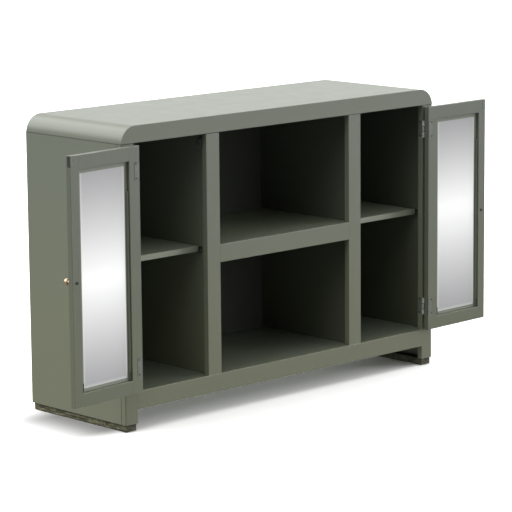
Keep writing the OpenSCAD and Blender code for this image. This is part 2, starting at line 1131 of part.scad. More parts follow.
module door_strike_screw() {
    strike_screw_place()
        screw();
}

// ---- Doors in place ----

module left_door_hinge_stile() {
    color(paint)
        left_door()
            door_hinge_stile();
}

module left_door_free_stile() {
    color(paint)
        left_door()
            door_free_stile();
}

module left_door_top_rail() {
    color(paint)
        left_door()
            door_top_rail();
}

module left_door_bottom_rail() {
    color(paint)
        left_door()
            door_bottom_rail();
}

module left_door_pane() {
    color(glass)
        left_door()
            door_pane();
}

module left_door_beads() {
    color(paint_dark)
        left_door()
            door_beads();
}

module left_door_bead_clips() {
    color(steel_dark)
        left_door()
            door_bead_clips();
}

module left_door_knob() {
    color(brass)
        left_door()
            door_knob();
}

module left_door_knob_screw() {
    color(brass)
        left_door()
            door_knob_screw();
}

module left_door_strike() {
    color(steel_dark)
        left_door()
            door_strike();
}

module left_door_strike_screw() {
    color(steel)
        left_door()
            door_strike_screw();
}

module left_door_hinge_leaves() {
    color(steel)
        left_door()
            door_leaves();
}

module left_door_leaf_screws() {
    color(steel)
        left_door()
            door_leaf_screws();
}

module right_door_hinge_stile() {
    color(paint)
        right_door()
            door_hinge_stile();
}

module right_door_free_stile() {
    color(paint)
        right_door()
            door_free_stile();
}

module right_door_top_rail() {
    color(paint)
        right_door()
            door_top_rail();
}

module right_door_bottom_rail() {
    color(paint)
        right_door()
            door_bottom_rail();
}

module right_door_pane() {
    color(glass)
        right_door()
            door_pane();
}

module right_door_beads() {
    color(paint_dark)
        right_door()
            door_beads();
}

module right_door_bead_clips() {
    color(steel_dark)
        right_door()
            door_bead_clips();
}

module right_door_knob() {
    color(brass)
        right_door()
            door_knob();
}

module right_door_knob_screw() {
    color(brass)
        right_door()
            door_knob_screw();
}

module right_door_strike() {
    color(steel_dark)
        right_door()
            door_strike();
}

module right_door_strike_screw() {
    color(steel)
        right_door()
            door_strike_screw();
}

module right_door_hinge_leaves() {
    color(steel)
        right_door()
            door_leaves();
}

module right_door_leaf_screws() {
    color(steel)
        right_door()
            door_leaf_screws();
}

top_panel();
top_rail();
left_shoulder();
right_shoulder();
left_side_panel();
right_side_panel();
left_corner_stile();
right_corner_stile();
left_divider_stile();
right_divider_stile();
bottom_rail();
middle_rail();
bottom_panel();
middle_shelf();
left_divider_panel();
right_divider_panel();
back_panel();
back_panel_screws();
left_side_shelf();
right_side_shelf();
shelf_clips();
shelf_clip_screws();
left_foot_skid();
right_foot_skid();
catch_bodies();
catch_magnets();
catch_screws();
frame_hinge_leaves();
frame_leaf_screws();
hinge_pins();
left_door_hinge_stile();
left_door_free_stile();
left_door_top_rail();
left_door_bottom_rail();
left_door_pane();
left_door_beads();
left_door_bead_clips();
left_door_knob();
left_door_knob_screw();
left_door_strike();
left_door_strike_screw();
left_door_hinge_leaves();
left_door_leaf_screws();
right_door_hinge_stile();
right_door_free_stile();
right_door_top_rail();
right_door_bottom_rail();
right_door_pane();
right_door_beads();
right_door_bead_clips();
right_door_knob();
right_door_knob_screw();
right_door_strike();
right_door_strike_screw();
right_door_hinge_leaves();
right_door_leaf_screws();
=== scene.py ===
"""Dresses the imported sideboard: paint, glass, hardware, small fittings, light and camera.

Everything is in metres in the row frame: X along the width, Y from front to back, Z up.
"""

from __future__ import annotations

import json
import logging
import math
from dataclasses import dataclass
from enum import Enum

import bmesh
import bpy
from mathutils import Matrix, Vector, noise

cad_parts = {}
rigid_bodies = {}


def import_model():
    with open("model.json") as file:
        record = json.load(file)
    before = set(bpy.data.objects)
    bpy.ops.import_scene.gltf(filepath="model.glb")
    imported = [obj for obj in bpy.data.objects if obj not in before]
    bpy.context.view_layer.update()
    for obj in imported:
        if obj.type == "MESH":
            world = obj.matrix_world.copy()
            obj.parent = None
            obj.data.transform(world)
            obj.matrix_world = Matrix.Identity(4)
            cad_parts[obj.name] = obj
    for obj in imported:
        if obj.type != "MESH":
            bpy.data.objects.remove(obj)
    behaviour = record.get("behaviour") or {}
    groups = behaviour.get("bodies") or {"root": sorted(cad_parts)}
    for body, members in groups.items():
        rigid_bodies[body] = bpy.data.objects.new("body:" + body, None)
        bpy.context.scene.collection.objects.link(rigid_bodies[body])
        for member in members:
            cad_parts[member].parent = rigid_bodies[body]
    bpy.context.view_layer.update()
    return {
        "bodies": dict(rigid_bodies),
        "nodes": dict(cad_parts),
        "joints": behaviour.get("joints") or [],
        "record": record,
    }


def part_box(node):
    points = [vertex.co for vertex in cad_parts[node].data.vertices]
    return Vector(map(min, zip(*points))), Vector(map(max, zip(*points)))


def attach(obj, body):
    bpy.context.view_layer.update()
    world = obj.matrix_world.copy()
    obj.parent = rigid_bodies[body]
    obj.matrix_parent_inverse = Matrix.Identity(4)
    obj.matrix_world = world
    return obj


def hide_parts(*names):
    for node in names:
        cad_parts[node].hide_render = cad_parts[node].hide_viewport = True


LOG = logging.getLogger("sideboard")
MM = 0.001
SHARP_DEG = 35.0  # an edge that turns more than this is an arris
FLAT_DEG = 1.0  # faces that turn less than this from one another are one flat
EASE_STEPS = 3
TOUCHING = 1e-6  # metres; points nearer than this are one point
AXIS_ROUNDS = 60  # enough for the long axis of a screw to settle

MATH = "ShaderNodeMath"
VECTOR_MATH = "ShaderNodeVectorMath"
RANGE = "ShaderNodeMapRange"
SPLIT = "ShaderNodeSeparateXYZ"
JOIN = "ShaderNodeCombineXYZ"
BUMP = "ShaderNodeBump"
OCCLUSION = "ShaderNodeAmbientOcclusion"
GEOMETRY = "ShaderNodeNewGeometry"
MOVE = "GeometryNodeTransform"
BOOLEAN = "GeometryNodeMeshBoolean"
MIX = "ShaderNodeMix"
COLOUR = {"data_type": "RGBA"}
SHARE, FIRST, SECOND = 0, 6, 7  # sockets of a colour mix
SMOOTH = {"interpolation_type": "SMOOTHSTEP"}
SAMPLES = {"samples": 6}
TIMES = {"operation": "MULTIPLY"}
PLUS = {"operation": "ADD"}
MINUS = {"operation": "SUBTRACT"}
UNSIGNED = {"operation": "ABSOLUTE"}
LARGER = {"operation": "MAXIMUM"}
SMALLER = {"operation": "MINIMUM"}
OVER = {"operation": "GREATER_THAN"}
UNDER = {"operation": "LESS_THAN"}
TIMES_PLUS = {"operation": "MULTIPLY_ADD"}
DOT = {"operation": "DOT_PRODUCT"}

Colour = tuple[float, float, float, float]
Settings = dict[str, object]
Inputs = dict[str | int, object]


def linear(code: str) -> Colour:
    """Turns an sRGB hex code into linear colour.

    Args:
        code: Six hex digits after a hash.

    Returns:
        Linear red, green and blue, with an alpha of 1.
    """
    parts = [int(code[i : i + 2], 16) / 255 for i in (1, 3, 5)]
    curve = [p / 12.92 if p <= 0.04045 else ((p + 0.055) / 1.055) ** 2.4 for p in parts]
    return curve[0], curve[1], curve[2], 1.0


def add_node(
    tree: bpy.types.NodeTree,
    kind: str,
    settings: Settings | None = None,
    inputs: Inputs | None = None,
) -> bpy.types.Node:
    """Adds a node, sets its options and fills or links its inputs.

    Args:
        tree: Node tree that the node joins.
        kind: Type name of the node.
        settings: Attribute names and their values.
        inputs: Socket names or numbers. Each has a value, a socket, a node whose first
            output in use is taken, or a list of these for a socket that takes several.

    Returns:
        The new node.
    """
    node = tree.nodes.new(kind)
    for name, value in (settings or {}).items():
        setattr(node, name, value)
    for key, given in (inputs or {}).items():
        for value in given if isinstance(given, list) else [given]:
            if isinstance(value, bpy.types.Node):
                value = next(o for o in value.outputs if o.enabled)
            if isinstance(value, bpy.types.NodeSocket):
                tree.links.new(value, node.inputs[key])
            else:
                node.inputs[key].default_value = value
    return node


class Shader:
    """A new material with a surface shader, its output and its place coordinates."""

    def __init__(self, name: str) -> None:
        """Makes the material and the nodes that every finish starts from.

        Args:
            name: Name of the material.
        """
        self.material = bpy.data.materials.new(name)
        self.material.use_nodes = True
        self.tree = self.material.node_tree
        self.tree.nodes.clear()
        self.place = self.add("ShaderNodeTexCoord").outputs["Object"]

    def add(
        self, kind: str, settings: Settings | None = None, inputs: Inputs | None = None
    ) -> bpy.types.Node:
        """Adds a node to this material, as add_node does.

        Args:
            kind: Type name of the node.
            settings: Attribute names and their values.
            inputs: Socket names or numbers with their values or links.

        Returns:
            The new node.
        """
        return add_node(self.tree, kind, settings, inputs)

    def finish(self, inputs: Inputs) -> None:
        """Makes the surface shader and shows it.

        Args:
            inputs: Socket names of the surface shader with their values or links.
        """
        surface = self.add("ShaderNodeBsdfPrincipled", None, inputs)
        self.add("ShaderNodeOutputMaterial", None, {"Surface": surface})

    def cloud(
        self,
        size_mm: float,
        detail: float = 3.0,
        stretch: tuple[float, float, float] = (1.0, 1.0, 1.0),
    ) -> bpy.types.Node:
        """Soft random patches of a real size.

        Args:
            size_mm: Width of a patch.
            detail: Number of finer layers.
            stretch: How much closer the patches lie along each axis.

        Returns:
            A node whose output runs from 0 to 1.
        """
        scaled = self.add("ShaderNodeMapping", None, {"Vector": self.place, "Scale": stretch})
        return self.add(
            "ShaderNodeTexNoise",
            None,
            {"Vector": scaled, "Scale": 1 / (size_mm * MM), "Detail": detail, "Roughness": 0.55},
        )

    def round_edges(
        self, radius_mm: float, gain: float = 7.0
    ) -> tuple[bpy.types.Node, bpy.types.Node]:
        """Rounds the edges of the shading and finds where they are.

        Args:
            radius_mm: Radius that the edges are eased to.
            gain: How fast an edge counts as one.

        Returns:
            The eased normal, and a factor that is 1 on the edges.
        """
        eased = self.add("ShaderNodeBevel", SAMPLES, {"Radius": radius_mm * MM})
        flat = self.add(GEOMETRY).outputs["Normal"]
        same = self.add(VECTOR_MATH, DOT, {0: eased, 1: flat}).outputs["Value"]
        turned = self.add(MATH, MINUS, {0: 1.0, 1: same})
        edge = self.add(MATH, {"operation": "MULTIPLY", "use_clamp": True}, {0: turned, 1: gain})
        return eased, edge

    def crevice(self, reach_mm: float) -> bpy.types.Node:
        """Finds joints, inner corners and recesses, which the finishes darken.

        Args:
            reach_mm: How far a neighbouring surface counts.

        Returns:
            A node whose output is 1 deep in a joint and 0 in the open.
        """
        open_share = self.add(OCCLUSION, SAMPLES, {"Distance": reach_mm * MM}).outputs["AO"]
        return self.add(RANGE, SMOOTH, {"Value": open_share, "From Min": 0.74, "From Max": 0.36})


class Finish:
    """Something that a surface is finished with; its material is made once."""

    name: str
    _made: dict[str, bpy.types.Material] = {}

    def material(self) -> bpy.types.Material:
        """The material of this finish, made when it is first asked for.

        Returns:
            The material.
        """
        if self.name not in Finish._made:
            shader = Shader(self.name)
            self.shade(shader)
            Finish._made[self.name] = shader.material
        return Finish._made[self.name]

    def shade(self, shader: Shader) -> None:
        """Builds the nodes of the finish.

        Args:
            shader: New material to fill.
        """
        raise NotImplementedError


# Satin alkyd enamel, sprayed on primed board. To the eye: one even grey-green with a
# broad soft sheen. Its tone runs greyer high up and a little yellower low down, which is
# painted light. The level arrises are lighter, partly rubbed and partly a painted highlight,
# and the joints darker: soiled joints, and painted shade in the inner corners.
@dataclass(frozen=True)
class SatinEnamel(Finish):
    """Sprayed satin enamel; its orange peel is drawn 2.2 mm wide, as real peel is."""

    name: str = "satin_enamel"
    upper: str = "#72786D"
    lower: str = "#757862"
    patch: str = "#6E7362"
    edge: str = "#BDC3B5"
    joint: str = "#25271F"
    roughness: float = 0.36
    roughness_spread: float = 0.1
    peel_mm: float = 2.2
    peel_depth_mm: float = 0.01
    patch_mm: float = 170.0
    patch_share: float = 0.6
    gloss_patch_mm: float = 45.0
    edge_mm: float = 2.0
    edge_patch_mm: float = 22.0
    joint_reach_mm: float = 3.5
    joint_share: float = 0.85
    butted_share: float = 0.0
    seam_mm: float = 1.3
    skin_mm: float = 2.0
    lower_below_m: float = 0.15
    upper_above_m: float = 0.75
    painted_shade_inside: str = "#3F433A"
    painted_shade_inside_share: float = 0.0

    def joints(self, shader: Shader, place: bpy.types.Node) -> bpy.types.Node:
        """Finds inner corners, the seam under the cap and the seams of the front posts.

        Args:
            shader: Material to add to.
            place: Separated object coordinates.

        Returns:
            A node whose output is 1 in a joint and 0 in the open.
        """
        _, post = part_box("left_corner_stile")
        low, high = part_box("left_side_panel")
        seams = []
        for axis, at in (("Z", post.z), ("Y", post.y)):
            off = shader.add(MATH, MINUS, {0: place.outputs[axis], 1: at})
            away = shader.add(MATH, UNSIGNED, {0: off})
            edges = {"From Min": self.seam_mm * MM, "From Max": self.seam_mm * MM * 0.6}
            seams.append(shader.add(RANGE, SMOOTH, {"Value": away, **edges}))
        # The upright seam shows only on the outside of the sides, below the cap.
        across = shader.add(MATH, UNSIGNED, {0: place.outputs["X"]})
        outside = shader.add(MATH, OVER, {0: across, 1: -low.x - self.skin_mm * MM})
        below = shader.add(MATH, UNDER, {0: place.outputs["Z"], 1: high.z})
        upright = seams[1]
        for limit in (outside, below):
            upright = shader.add(MATH, TIMES, {0: upright, 1: limit})
        # The crevice darkening stands for soiled joints, and for painted shade in the inner
        # corners.
        joint = shader.crevice(self.joint_reach_mm)
        for seam in (seams[0], upright):
            joint = shader.add(MATH, LARGER, {0: joint, 1: seam})
        return joint

    def shade(self, shader: Shader) -> None:
        """Enamel, yellower low down as painted light; its edges rubbed and painted lighter.

        Args:
            shader: New material to fill.
        """
        eased, edge = shader.round_edges(self.edge_mm)
        place = shader.add(SPLIT, None, {0: shader.place})
        # Painted light: the tone is greyer towards the top and yellower towards the floor.
        reach = {"From Min": self.lower_below_m, "From Max": self.upper_above_m}
        painted_light_tint = shader.add(RANGE, SMOOTH, {"Value": place.outputs["Z"], **reach})
        patches = shader.cloud(self.patch_mm, 4.0)
        patchy = shader.add(MATH, TIMES, {0: patches, 1: self.patch_share})
        # Painted shade: the inner faces take a darker tone than the paint has, which keeps the bays
        # as dark as harder light from the front would leave them.
        _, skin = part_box("right_side_panel")
        across = shader.add(MATH, UNSIGNED, {0: place.outputs["X"]})
        inner = shader.add(MATH, UNDER, {0: across, 1: skin.x - self.skin_mm * MM})
        painted_inner_shade = shader.add(MATH, TIMES, {0: inner, 1: self.painted_shade_inside_share})
        rubbing = {"From Min": 0.3, "From Max": 0.6, "To Min": 0.25, "To Max": 0.9}
        worn_patches = shader.cloud(self.edge_patch_mm, 3.0)
        worn = shader.add(RANGE, SMOOTH, {"Value": worn_patches, **rubbing})
        joint = self.joints(shader, place)
        clear = shader.add(MATH, MINUS, {0: 1.0, 1: joint})
        # Level arrises are lighter, partly where hands and cloths rub them and partly as a painted
        # highlight where they catch the light; upright ones are mostly butted against the next
        # board.
        facing = shader.add(GEOMETRY).outputs["Normal"]
        tilt = shader.add(VECTOR_MATH, MINUS, {0: eased, 1: facing})
        rise = shader.add(SPLIT, None, {0: tilt}).outputs["Z"]
        steepness = shader.add(MATH, UNSIGNED, {0: rise})
        level = shader.add(RANGE, SMOOTH, {"Value": steepness, "From Max": 0.2})
        level_edge = shader.add(MATH, TIMES, {0: edge, 1: level})
        butted = shader.add(MATH, MINUS, {0: edge, 1: level_edge})
        lighter_arrises = level_edge
        for share in (worn, clear):
            lighter_arrises = shader.add(MATH, TIMES, {0: lighter_arrises, 1: share})
        filled = shader.add(MATH, TIMES, {0: butted, 1: self.butted_share})
        # Joint tone: soiled joints, and painted shade in the inner corners.
        dirt_and_shade = {0: joint, 1: self.joint_share, 2: filled}
        dirt_and_shade_share = shader.add(MATH, {**TIMES_PLUS, "use_clamp": True}, dirt_and_shade)
        tone = linear(self.lower)
        for share, code in (
            (painted_light_tint, self.upper),
            (patchy, self.patch),
            (painted_inner_shade, self.painted_shade_inside),
            (lighter_arrises, self.edge),
            (dirt_and_shade_share, self.joint),
        ):
            tone = shader.add(MIX, COLOUR, {SHARE: share, FIRST: tone, SECOND: linear(code)})
        least_rough = self.roughness - self.roughness_spread / 2
        cloudy = {0: shader.cloud(self.gloss_patch_mm), 1: self.roughness_spread, 2: least_rough}
        rough = shader.add(MATH, TIMES_PLUS, cloudy)
        bumps = {"Height": shader.cloud(self.peel_mm, 2.0), "Distance": self.peel_depth_mm * MM}
        peel = shader.add(BUMP, None, {**bumps, "Normal": eased})
        shader.finish({"Base Color": tone, "Roughness": rough, "Normal": peel, "IOR": 1.5})


# Emulsion rolled on thin hardboard. To the eye: duller and darker than the enamel, with
# no highlight and a fine roller stipple. Its tone is set darker as painted shade of the bays.
@dataclass(frozen=True)
class RolledBackBoard(Finish):
    """Rolled paint on the hardboard back; the stipple is 3 mm, as a short nap leaves it."""

    name: str = "rolled_hardboard"
    body: str = "#4C4F46"
    patch: str = "#42453C"
    roughness: float = 0.65
    patch_mm: float = 90.0
    stipple_mm: float = 3.0
    stipple_depth_mm: float = 0.05

    def shade(self, shader: Shader) -> None:
        """Dull wash over a stippled board.

        Args:
            shader: New material to fill.
        """
        wash = shader.cloud(self.patch_mm, 5.0)
        tones = {FIRST: linear(self.body), SECOND: linear(self.patch)}
        tone = shader.add(MIX, COLOUR, {SHARE: wash, **tones})
        nap = shader.cloud(self.stipple_mm, 2.0)
        depth = self.stipple_depth_mm * MM
        stipple = shader.add(BUMP, None, {"Height": nap, "Distance": depth})
        shader.finish({"Base Color": tone, "Roughness": self.roughness, "Normal": stipple})


# Bare softwood, sawn, then stained and scuffed by floors. To the eye: matt and blotchy,
# streaked along its length, black in the cracks and at the foot, pale on worn corners. A
# painted shadow darkens its head under the side, and painted shade darkens it where it is
# hemmed in under the cabinet.
@dataclass(frozen=True)
class ScuffedSoftwood(Finish):
    """Softwood runner; growth rings are 3 mm apart and run along its length."""

    name: str = "scuffed_softwood"
    pale: str = "#7D7C5E"
    dark: str = "#3A3A24"
    bare: str = "#A19F8C"
    dirt_and_shade: str = "#1C1B12"
    grain_mm: float = 3.2
    grain_stretch: float = 0.08
    blotch_mm: float = 15.0
    fleck_mm: float = 5.0
    crack_mm: float = 4.0
    foot_mm: float = 2.5
    head_mm: float = 4.0
    end_share: float = 0.45
    shelter_m: float = 0.25
    relief_mm: float = 0.35
    roughness: float = 0.82

    def shade(self, shader: Shader) -> None:
        """Blotchy, streaked wood: long cracks, pale flecks, a dark foot, a head in painted shadow.

        Args:
            shader: New material to fill.
        """
        grain = shader.cloud(self.grain_mm, 5.0, (1.0, self.grain_stretch, 1.0))
        blotch = shader.cloud(self.blotch_mm, 5.0, (1.0, 0.6, 1.0))
        fleck = shader.cloud(self.fleck_mm, 4.0, (1.0, 0.35, 1.0))
        crack = shader.cloud(self.crack_mm, 3.0, (1.0, 0.04, 1.0))
        mixed = shader.add(MATH, PLUS, {0: grain, 1: blotch})
        height = shader.add(SPLIT, None, {0: shader.place}).outputs["Z"]
        _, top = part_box("left_foot_skid")
        head_from = top.z - self.head_mm * MM
        normal = shader.add(GEOMETRY).outputs["Normal"]
        facing = shader.add(SPLIT, None, {0: normal}).outputs["Y"]
        along = shader.add(MATH, UNSIGNED, {0: facing})
        gap = shader.add(OCCLUSION, SAMPLES, {"Distance": self.shelter_m})
        open_share = gap.outputs["AO"]
        tone = linear(self.dark)
        # Rows: pale grain, pale flecks, cracks, a darker foot, a painted shadow along the head
        # under the side, darker end grain, and painted shade where the runner is hemmed in under
        # the cabinet.
        for blend, value, nothing_at, full_at, most, code in (
            (SMOOTH, mixed, 0.82, 1.2, 1.0, self.pale),
            (SMOOTH, fleck, 0.56, 0.7, 1.0, self.bare),
            (SMOOTH, crack, 0.56, 0.64, 1.0, self.dirt_and_shade),
            (None, height, self.foot_mm * MM, 0.0, 1.0, self.dirt_and_shade),
            (None, height, head_from, top.z, 1.0, self.dirt_and_shade),
            (None, along, 0.6, 0.9, self.end_share, self.dirt_and_shade),
            (SMOOTH, open_share, 0.45, 0.25, 0.9, self.dirt_and_shade),
        ):
            limits = {"From Min": nothing_at, "From Max": full_at, "To Max": most}
            share = shader.add(RANGE, blend, {"Value": value, **limits})
            tone = shader.add(MIX, COLOUR, {SHARE: share, FIRST: tone, SECOND: linear(code)})
        depth = self.relief_mm * MM
        relief = shader.add(BUMP, None, {"Height": grain, "Distance": depth})
        shader.finish({"Base Color": tone, "Roughness": self.roughness, "Normal": relief})


# Polished float glass, acid-etched on its back face inside a painted bedding. To the
# eye: a smooth satin white that greys towards head and foot, with a pale rim and a
# glossy skin over it. The pale band is painted light, drawn in the film, so it stays put
# when the light moves; the pale rim is a painted highlight, and a little emission, a
# painted glow, keeps its white up in soft light. The bedding is set paler to paint out the
# shade of the recess. Nothing shows through.
@dataclass(frozen=True)
class EtchedGlass(Finish):
    """Etched pane; U and V of its own map run from 0 to 1 over the etched part."""

    name: str = "etched_float_glass"
    film_away_from_band: str = "#A6A6A8"
    painted_light_band: str = "#FFFFFF"
    rim: str = "#F0F2E8"
    bedding: str = "#878C7F"
    rim_highlight_share: float = 0.3
    rim_width: float = 0.05
    band_from: float = 0.48
    band_to: float = 0.54
    falloff: float = 1.25
    roughness: float = 0.2
    glow: float = 0.24

    def shade(self, shader: Shader) -> None:
        """Film on the pane's own map, with painted light band and highlight rim, inside the
        bedding.

        Args:
            shader: New material to fill.
        """
        own = shader.add("ShaderNodeTexCoord").outputs["UV"]
        up = shader.add(SPLIT, None, {0: own}).outputs["Y"]
        # Painted light: a pale band across the middle, greying towards head and foot.
        rising = shader.add(RANGE, None, {"Value": up, "From Max": self.band_from})
        head = {"From Min": 1.0, "From Max": self.band_to}
        falling = shader.add(RANGE, None, {"Value": up, **head})
        nearer = shader.add(MATH, SMALLER, {0: rising, 1: falling})
        both = shader.add(MATH, {"operation": "POWER"}, {0: nearer, 1: self.falloff})
        from_middle = shader.add(VECTOR_MATH, MINUS, {0: own, 1: (0.5, 0.5, 0.0)})
        distance = shader.add(VECTOR_MATH, UNSIGNED, {0: from_middle})
        aside = shader.add(SPLIT, None, {0: distance})
        # The pane is about three times as tall as it is wide, so the rim is a third as wide in V
        # as in U. The rim is a painted highlight; the head lies in the shade of the rail and has
        # none.
        rim_highlights = []
        for value, nothing_at, full_at in (
            (aside.outputs["X"], 0.5 - self.rim_width, 0.5), (up, self.rim_width / 3, 0.0)
        ):
            limits = {"From Min": nothing_at, "From Max": full_at, "To Max": self.rim_highlight_share}
            rim_highlights.append(shader.add(RANGE, None, {"Value": value, **limits}))
        rim = shader.add(MATH, LARGER, {0: rim_highlights[0], 1: rim_highlights[1]})
        film = linear(self.film_away_from_band)
        for share, code in ((both, self.painted_light_band), (rim, self.rim)):
            film = shader.add(MIX, COLOUR, {SHARE: share, FIRST: film, SECOND: linear(code)})
        # The bedding tone is set paler, to paint out the shade of the recess.
        furthest = shader.add(MATH, LARGER, {0: aside.outputs["X"], 1: aside.outputs["Y"]})
        bedded = shader.add(MATH, OVER, {0: furthest, 1: 0.5})
        tone, lit = (
            shader.add(MIX, COLOUR, {SHARE: bedded, FIRST: film, SECOND: linear(code)})
            for code in (self.bedding, "#000000")
        )
        shader.finish(
            {
                "Base Color": tone,
                "Roughness": self.roughness,
                "Coat Weight": 0.4,
                "Coat Roughness": 0.03,
                "Emission Color": lit,
                "Emission Strength": self.glow,
            }
        )


# Pressed mild steel, sprayed over with the cabinet. To the eye: the body colour with a dark
# line of painted shade round each leaf, spots of dirt, and bare bright barrels where the
# knuckles turn, worn steel kept pale as a painted glint.
@dataclass(frozen=True)
class OverpaintedSteel(Finish):
    """Painted hinge steel with worn barrels round the two door pins."""

    name: str = "overpainted_steel"
    paint: str = "#676D62"
    bare_metal_and_glint: str = "#D6D7D0"
    grime_and_shade: str = "#20221B"
    bare_share: float = 1.0
    outline_mm: float = 2.2
    barrel_mm: float = 3.7
    spot_mm: float = 5.0
    spot_share: float = 0.4
    worn_mm: float = 3.0
    roughness: float = 0.42
    pin_x: float = 0.5573
    pin_y: float = -0.177234

    def shade(self, shader: Shader) -> None:
        """Paint with dirt spots, outlines of painted shade and pale bare steel near a pin.

        Args:
            shader: New material to fill.
        """
        eased, edge = shader.round_edges(self.outline_mm)
        place = shader.add(SPLIT, None, {0: shader.place})
        across = shader.add(MATH, UNSIGNED, {0: place.outputs["X"]})
        aside = shader.add(MATH, MINUS, {0: across, 1: self.pin_x})
        ahead = shader.add(MATH, MINUS, {0: place.outputs["Y"], 1: self.pin_y})
        flat = shader.add(JOIN, None, {"X": aside, "Y": ahead})
        reach = shader.add(VECTOR_MATH, {"operation": "LENGTH"}, {0: flat}).outputs["Value"]
        skin = self.barrel_mm * MM
        round_pin = {"From Min": skin * 1.1, "From Max": skin, "To Max": self.bare_share}
        barrel = shader.add(RANGE, None, {"Value": reach, **round_pin})
        patches = shader.cloud(self.spot_mm, 4.0)
        spotting = {"From Min": 0.5, "From Max": 0.75, "To Max": self.spot_share}
        spots = shader.add(RANGE, SMOOTH, {"Value": patches, **spotting})
        rubbing = {"From Min": 0.66, "From Max": 0.46}
        worn = shader.add(RANGE, SMOOTH, {"Value": shader.cloud(self.worn_mm), **rubbing})
        bare = shader.add(MATH, TIMES, {0: barrel, 1: worn})
        tone = linear(self.paint)
        # Spots are dirt; the outline is painted shade; the bare steel is worn, kept pale as a
        # painted glint.
        for share, code in ((spots, self.grime_and_shade), (bare, self.bare_metal_and_glint), (edge, self.grime_and_shade)):
            tone = shader.add(MIX, COLOUR, {SHARE: share, FIRST: tone, SECOND: linear(code)})
        metallic = shader.add(MATH, TIMES, {0: bare, 1: 0.5})
        sheen = {"Metallic": metallic, "Roughness": self.roughness}
        shader.finish({"Base Color": tone, "Normal": eased, **sheen})


# Thin sheet steel, blued and then dulled by handling. To the eye: dark grey-green and
# nearly matt, with paler rubbed arrises.
@dataclass(frozen=True)
class BluedSheetSteel(Finish):
    """Dark sheet steel of the strike edges and the shelf clips."""

    name: str = "blued_sheet_steel"
    dark: str = "#2B2D27"
    pale: str = "#4A4D45"
    edge: str = "#83867C"
    edge_mm: float = 0.6
    cloud_mm: float = 6.0
    rubbed_share: float = 0.6

    def shade(self, shader: Shader) -> None:
        """Dark oxide, cloudy, with rubbed arrises.

        Args:
            shader: New material to fill.
        """
        eased, edge = shader.round_edges(self.edge_mm)
        cloudy = shader.cloud(self.cloud_mm, 4.0)
        lighter_arrises = shader.add(MATH, TIMES, {0: edge, 1: self.rubbed_share})
        tone = linear(self.dark)
        for share, code in ((cloudy, self.pale), (lighter_arrises, self.edge)):
            tone = shader.add(MIX, COLOUR, {SHARE: share, FIRST: tone, SECOND: linear(code)})
        shader.finish({"Base Color": tone, "Metallic": 0.3, "Roughness": 0.5, "Normal": eased})


# Zinc-plated screw steel gone dark. To the eye: small dull dots, darkest in the cross.
@dataclass(frozen=True)
class DarkenedZinc(Finish):
    """Dull plated steel of the screws and the magnet poles."""

    name: str = "darkened_zinc_plate"
    zinc: str = "#4C4D45"
    darker_zinc: str = "#1F1F1A"
    edge_mm: float = 0.3
    darkening_mm: float = 1.5

    def shade(self, shader: Shader) -> None:
        """Plated steel with dull patches, darker in the recess.

        Args:
            shader: New material to fill.
        """
        eased, _ = shader.round_edges(self.edge_mm)
        patches, recess = shader.cloud(self.darkening_mm), shader.crevice(self.darkening_mm)
        dull = shader.add(MATH, LARGER, {0: patches, 1: recess})
        tones = {FIRST: linear(self.zinc), SECOND: linear(self.darker_zinc)}
        tone = shader.add(MIX, COLOUR, {SHARE: dull, **tones})
        shader.finish({"Base Color": tone, "Metallic": 0.35, "Roughness": 0.5, "Normal": eased})


# Moulded grey ABS of the magnetic catch. To the eye: matt, with a fine even grain.
@dataclass(frozen=True)
class MouldedPlastic(Finish):
    """Catch housing; the spark-eroded texture is 0.8 mm, coarser than it really is."""

    name: str = "moulded_grey_abs"
    body: str = "#5C5F58"
    cloudy: str = "#474A44"
    grain_mm: float = 0.8
    grain_depth_mm: float = 0.03
    edge_mm: float = 0.8
    cloud_mm: float = 8.0

    def shade(self, shader: Shader) -> None:
        """Even matt plastic with a fine texture.

        Args:
            shader: New material to fill.
        """
        eased, _ = shader.round_edges(self.edge_mm)
        tones = {FIRST: linear(self.body), SECOND: linear(self.cloudy)}
        tone = shader.add(MIX, COLOUR, {SHARE: shader.cloud(self.cloud_mm), **tones})
        spark = {"Height": shader.cloud(self.grain_mm, 1.0), "Normal": eased}
        grain = shader.add(BUMP, None, {**spark, "Distance": self.grain_depth_mm * MM})
        shader.finish({"Base Color": tone, "Roughness": 0.6, "Normal": grain})


# Turned brass, aged. To the eye: pale and bright on the crown that hands polish, coppery
# brown in the neck.
@dataclass(frozen=True)
class AgedBrass(Finish):
    """Brass of the knobs, browned wherever it isn't handled."""

    name: str = "aged_turned_brass"
    bright: str = "#E9CDB0"
    brown: str = "#8A5734"
    reach_mm: float = 6.0
    edge_mm: float = 0.4
    cloud_mm: float = 3.0

    def shade(self, shader: Shader) -> None:
        """Brass with a brown bloom where it isn't handled.

        Args:
            shader: New material to fill.
        """
        eased, _ = shader.round_edges(self.edge_mm)
        gap = shader.add(OCCLUSION, SAMPLES, {"Distance": self.reach_mm * MM})
        bloom = shader.cloud(self.cloud_mm, 4.0)
        cloudy = shader.add(MATH, TIMES, {0: gap.outputs["AO"], 1: bloom})
        handled = {"From Min": 0.2, "From Max": 0.55}
        polished = shader.add(RANGE, SMOOTH, {"Value": cloudy, **handled})
        tones = {FIRST: linear(self.brown), SECOND: linear(self.bright)}
        tone = shader.add(MIX, COLOUR, {SHARE: polished, **tones})
        shader.finish({"Base Color": tone, "Metallic": 1.0, "Roughness": 0.42, "Normal": eased})


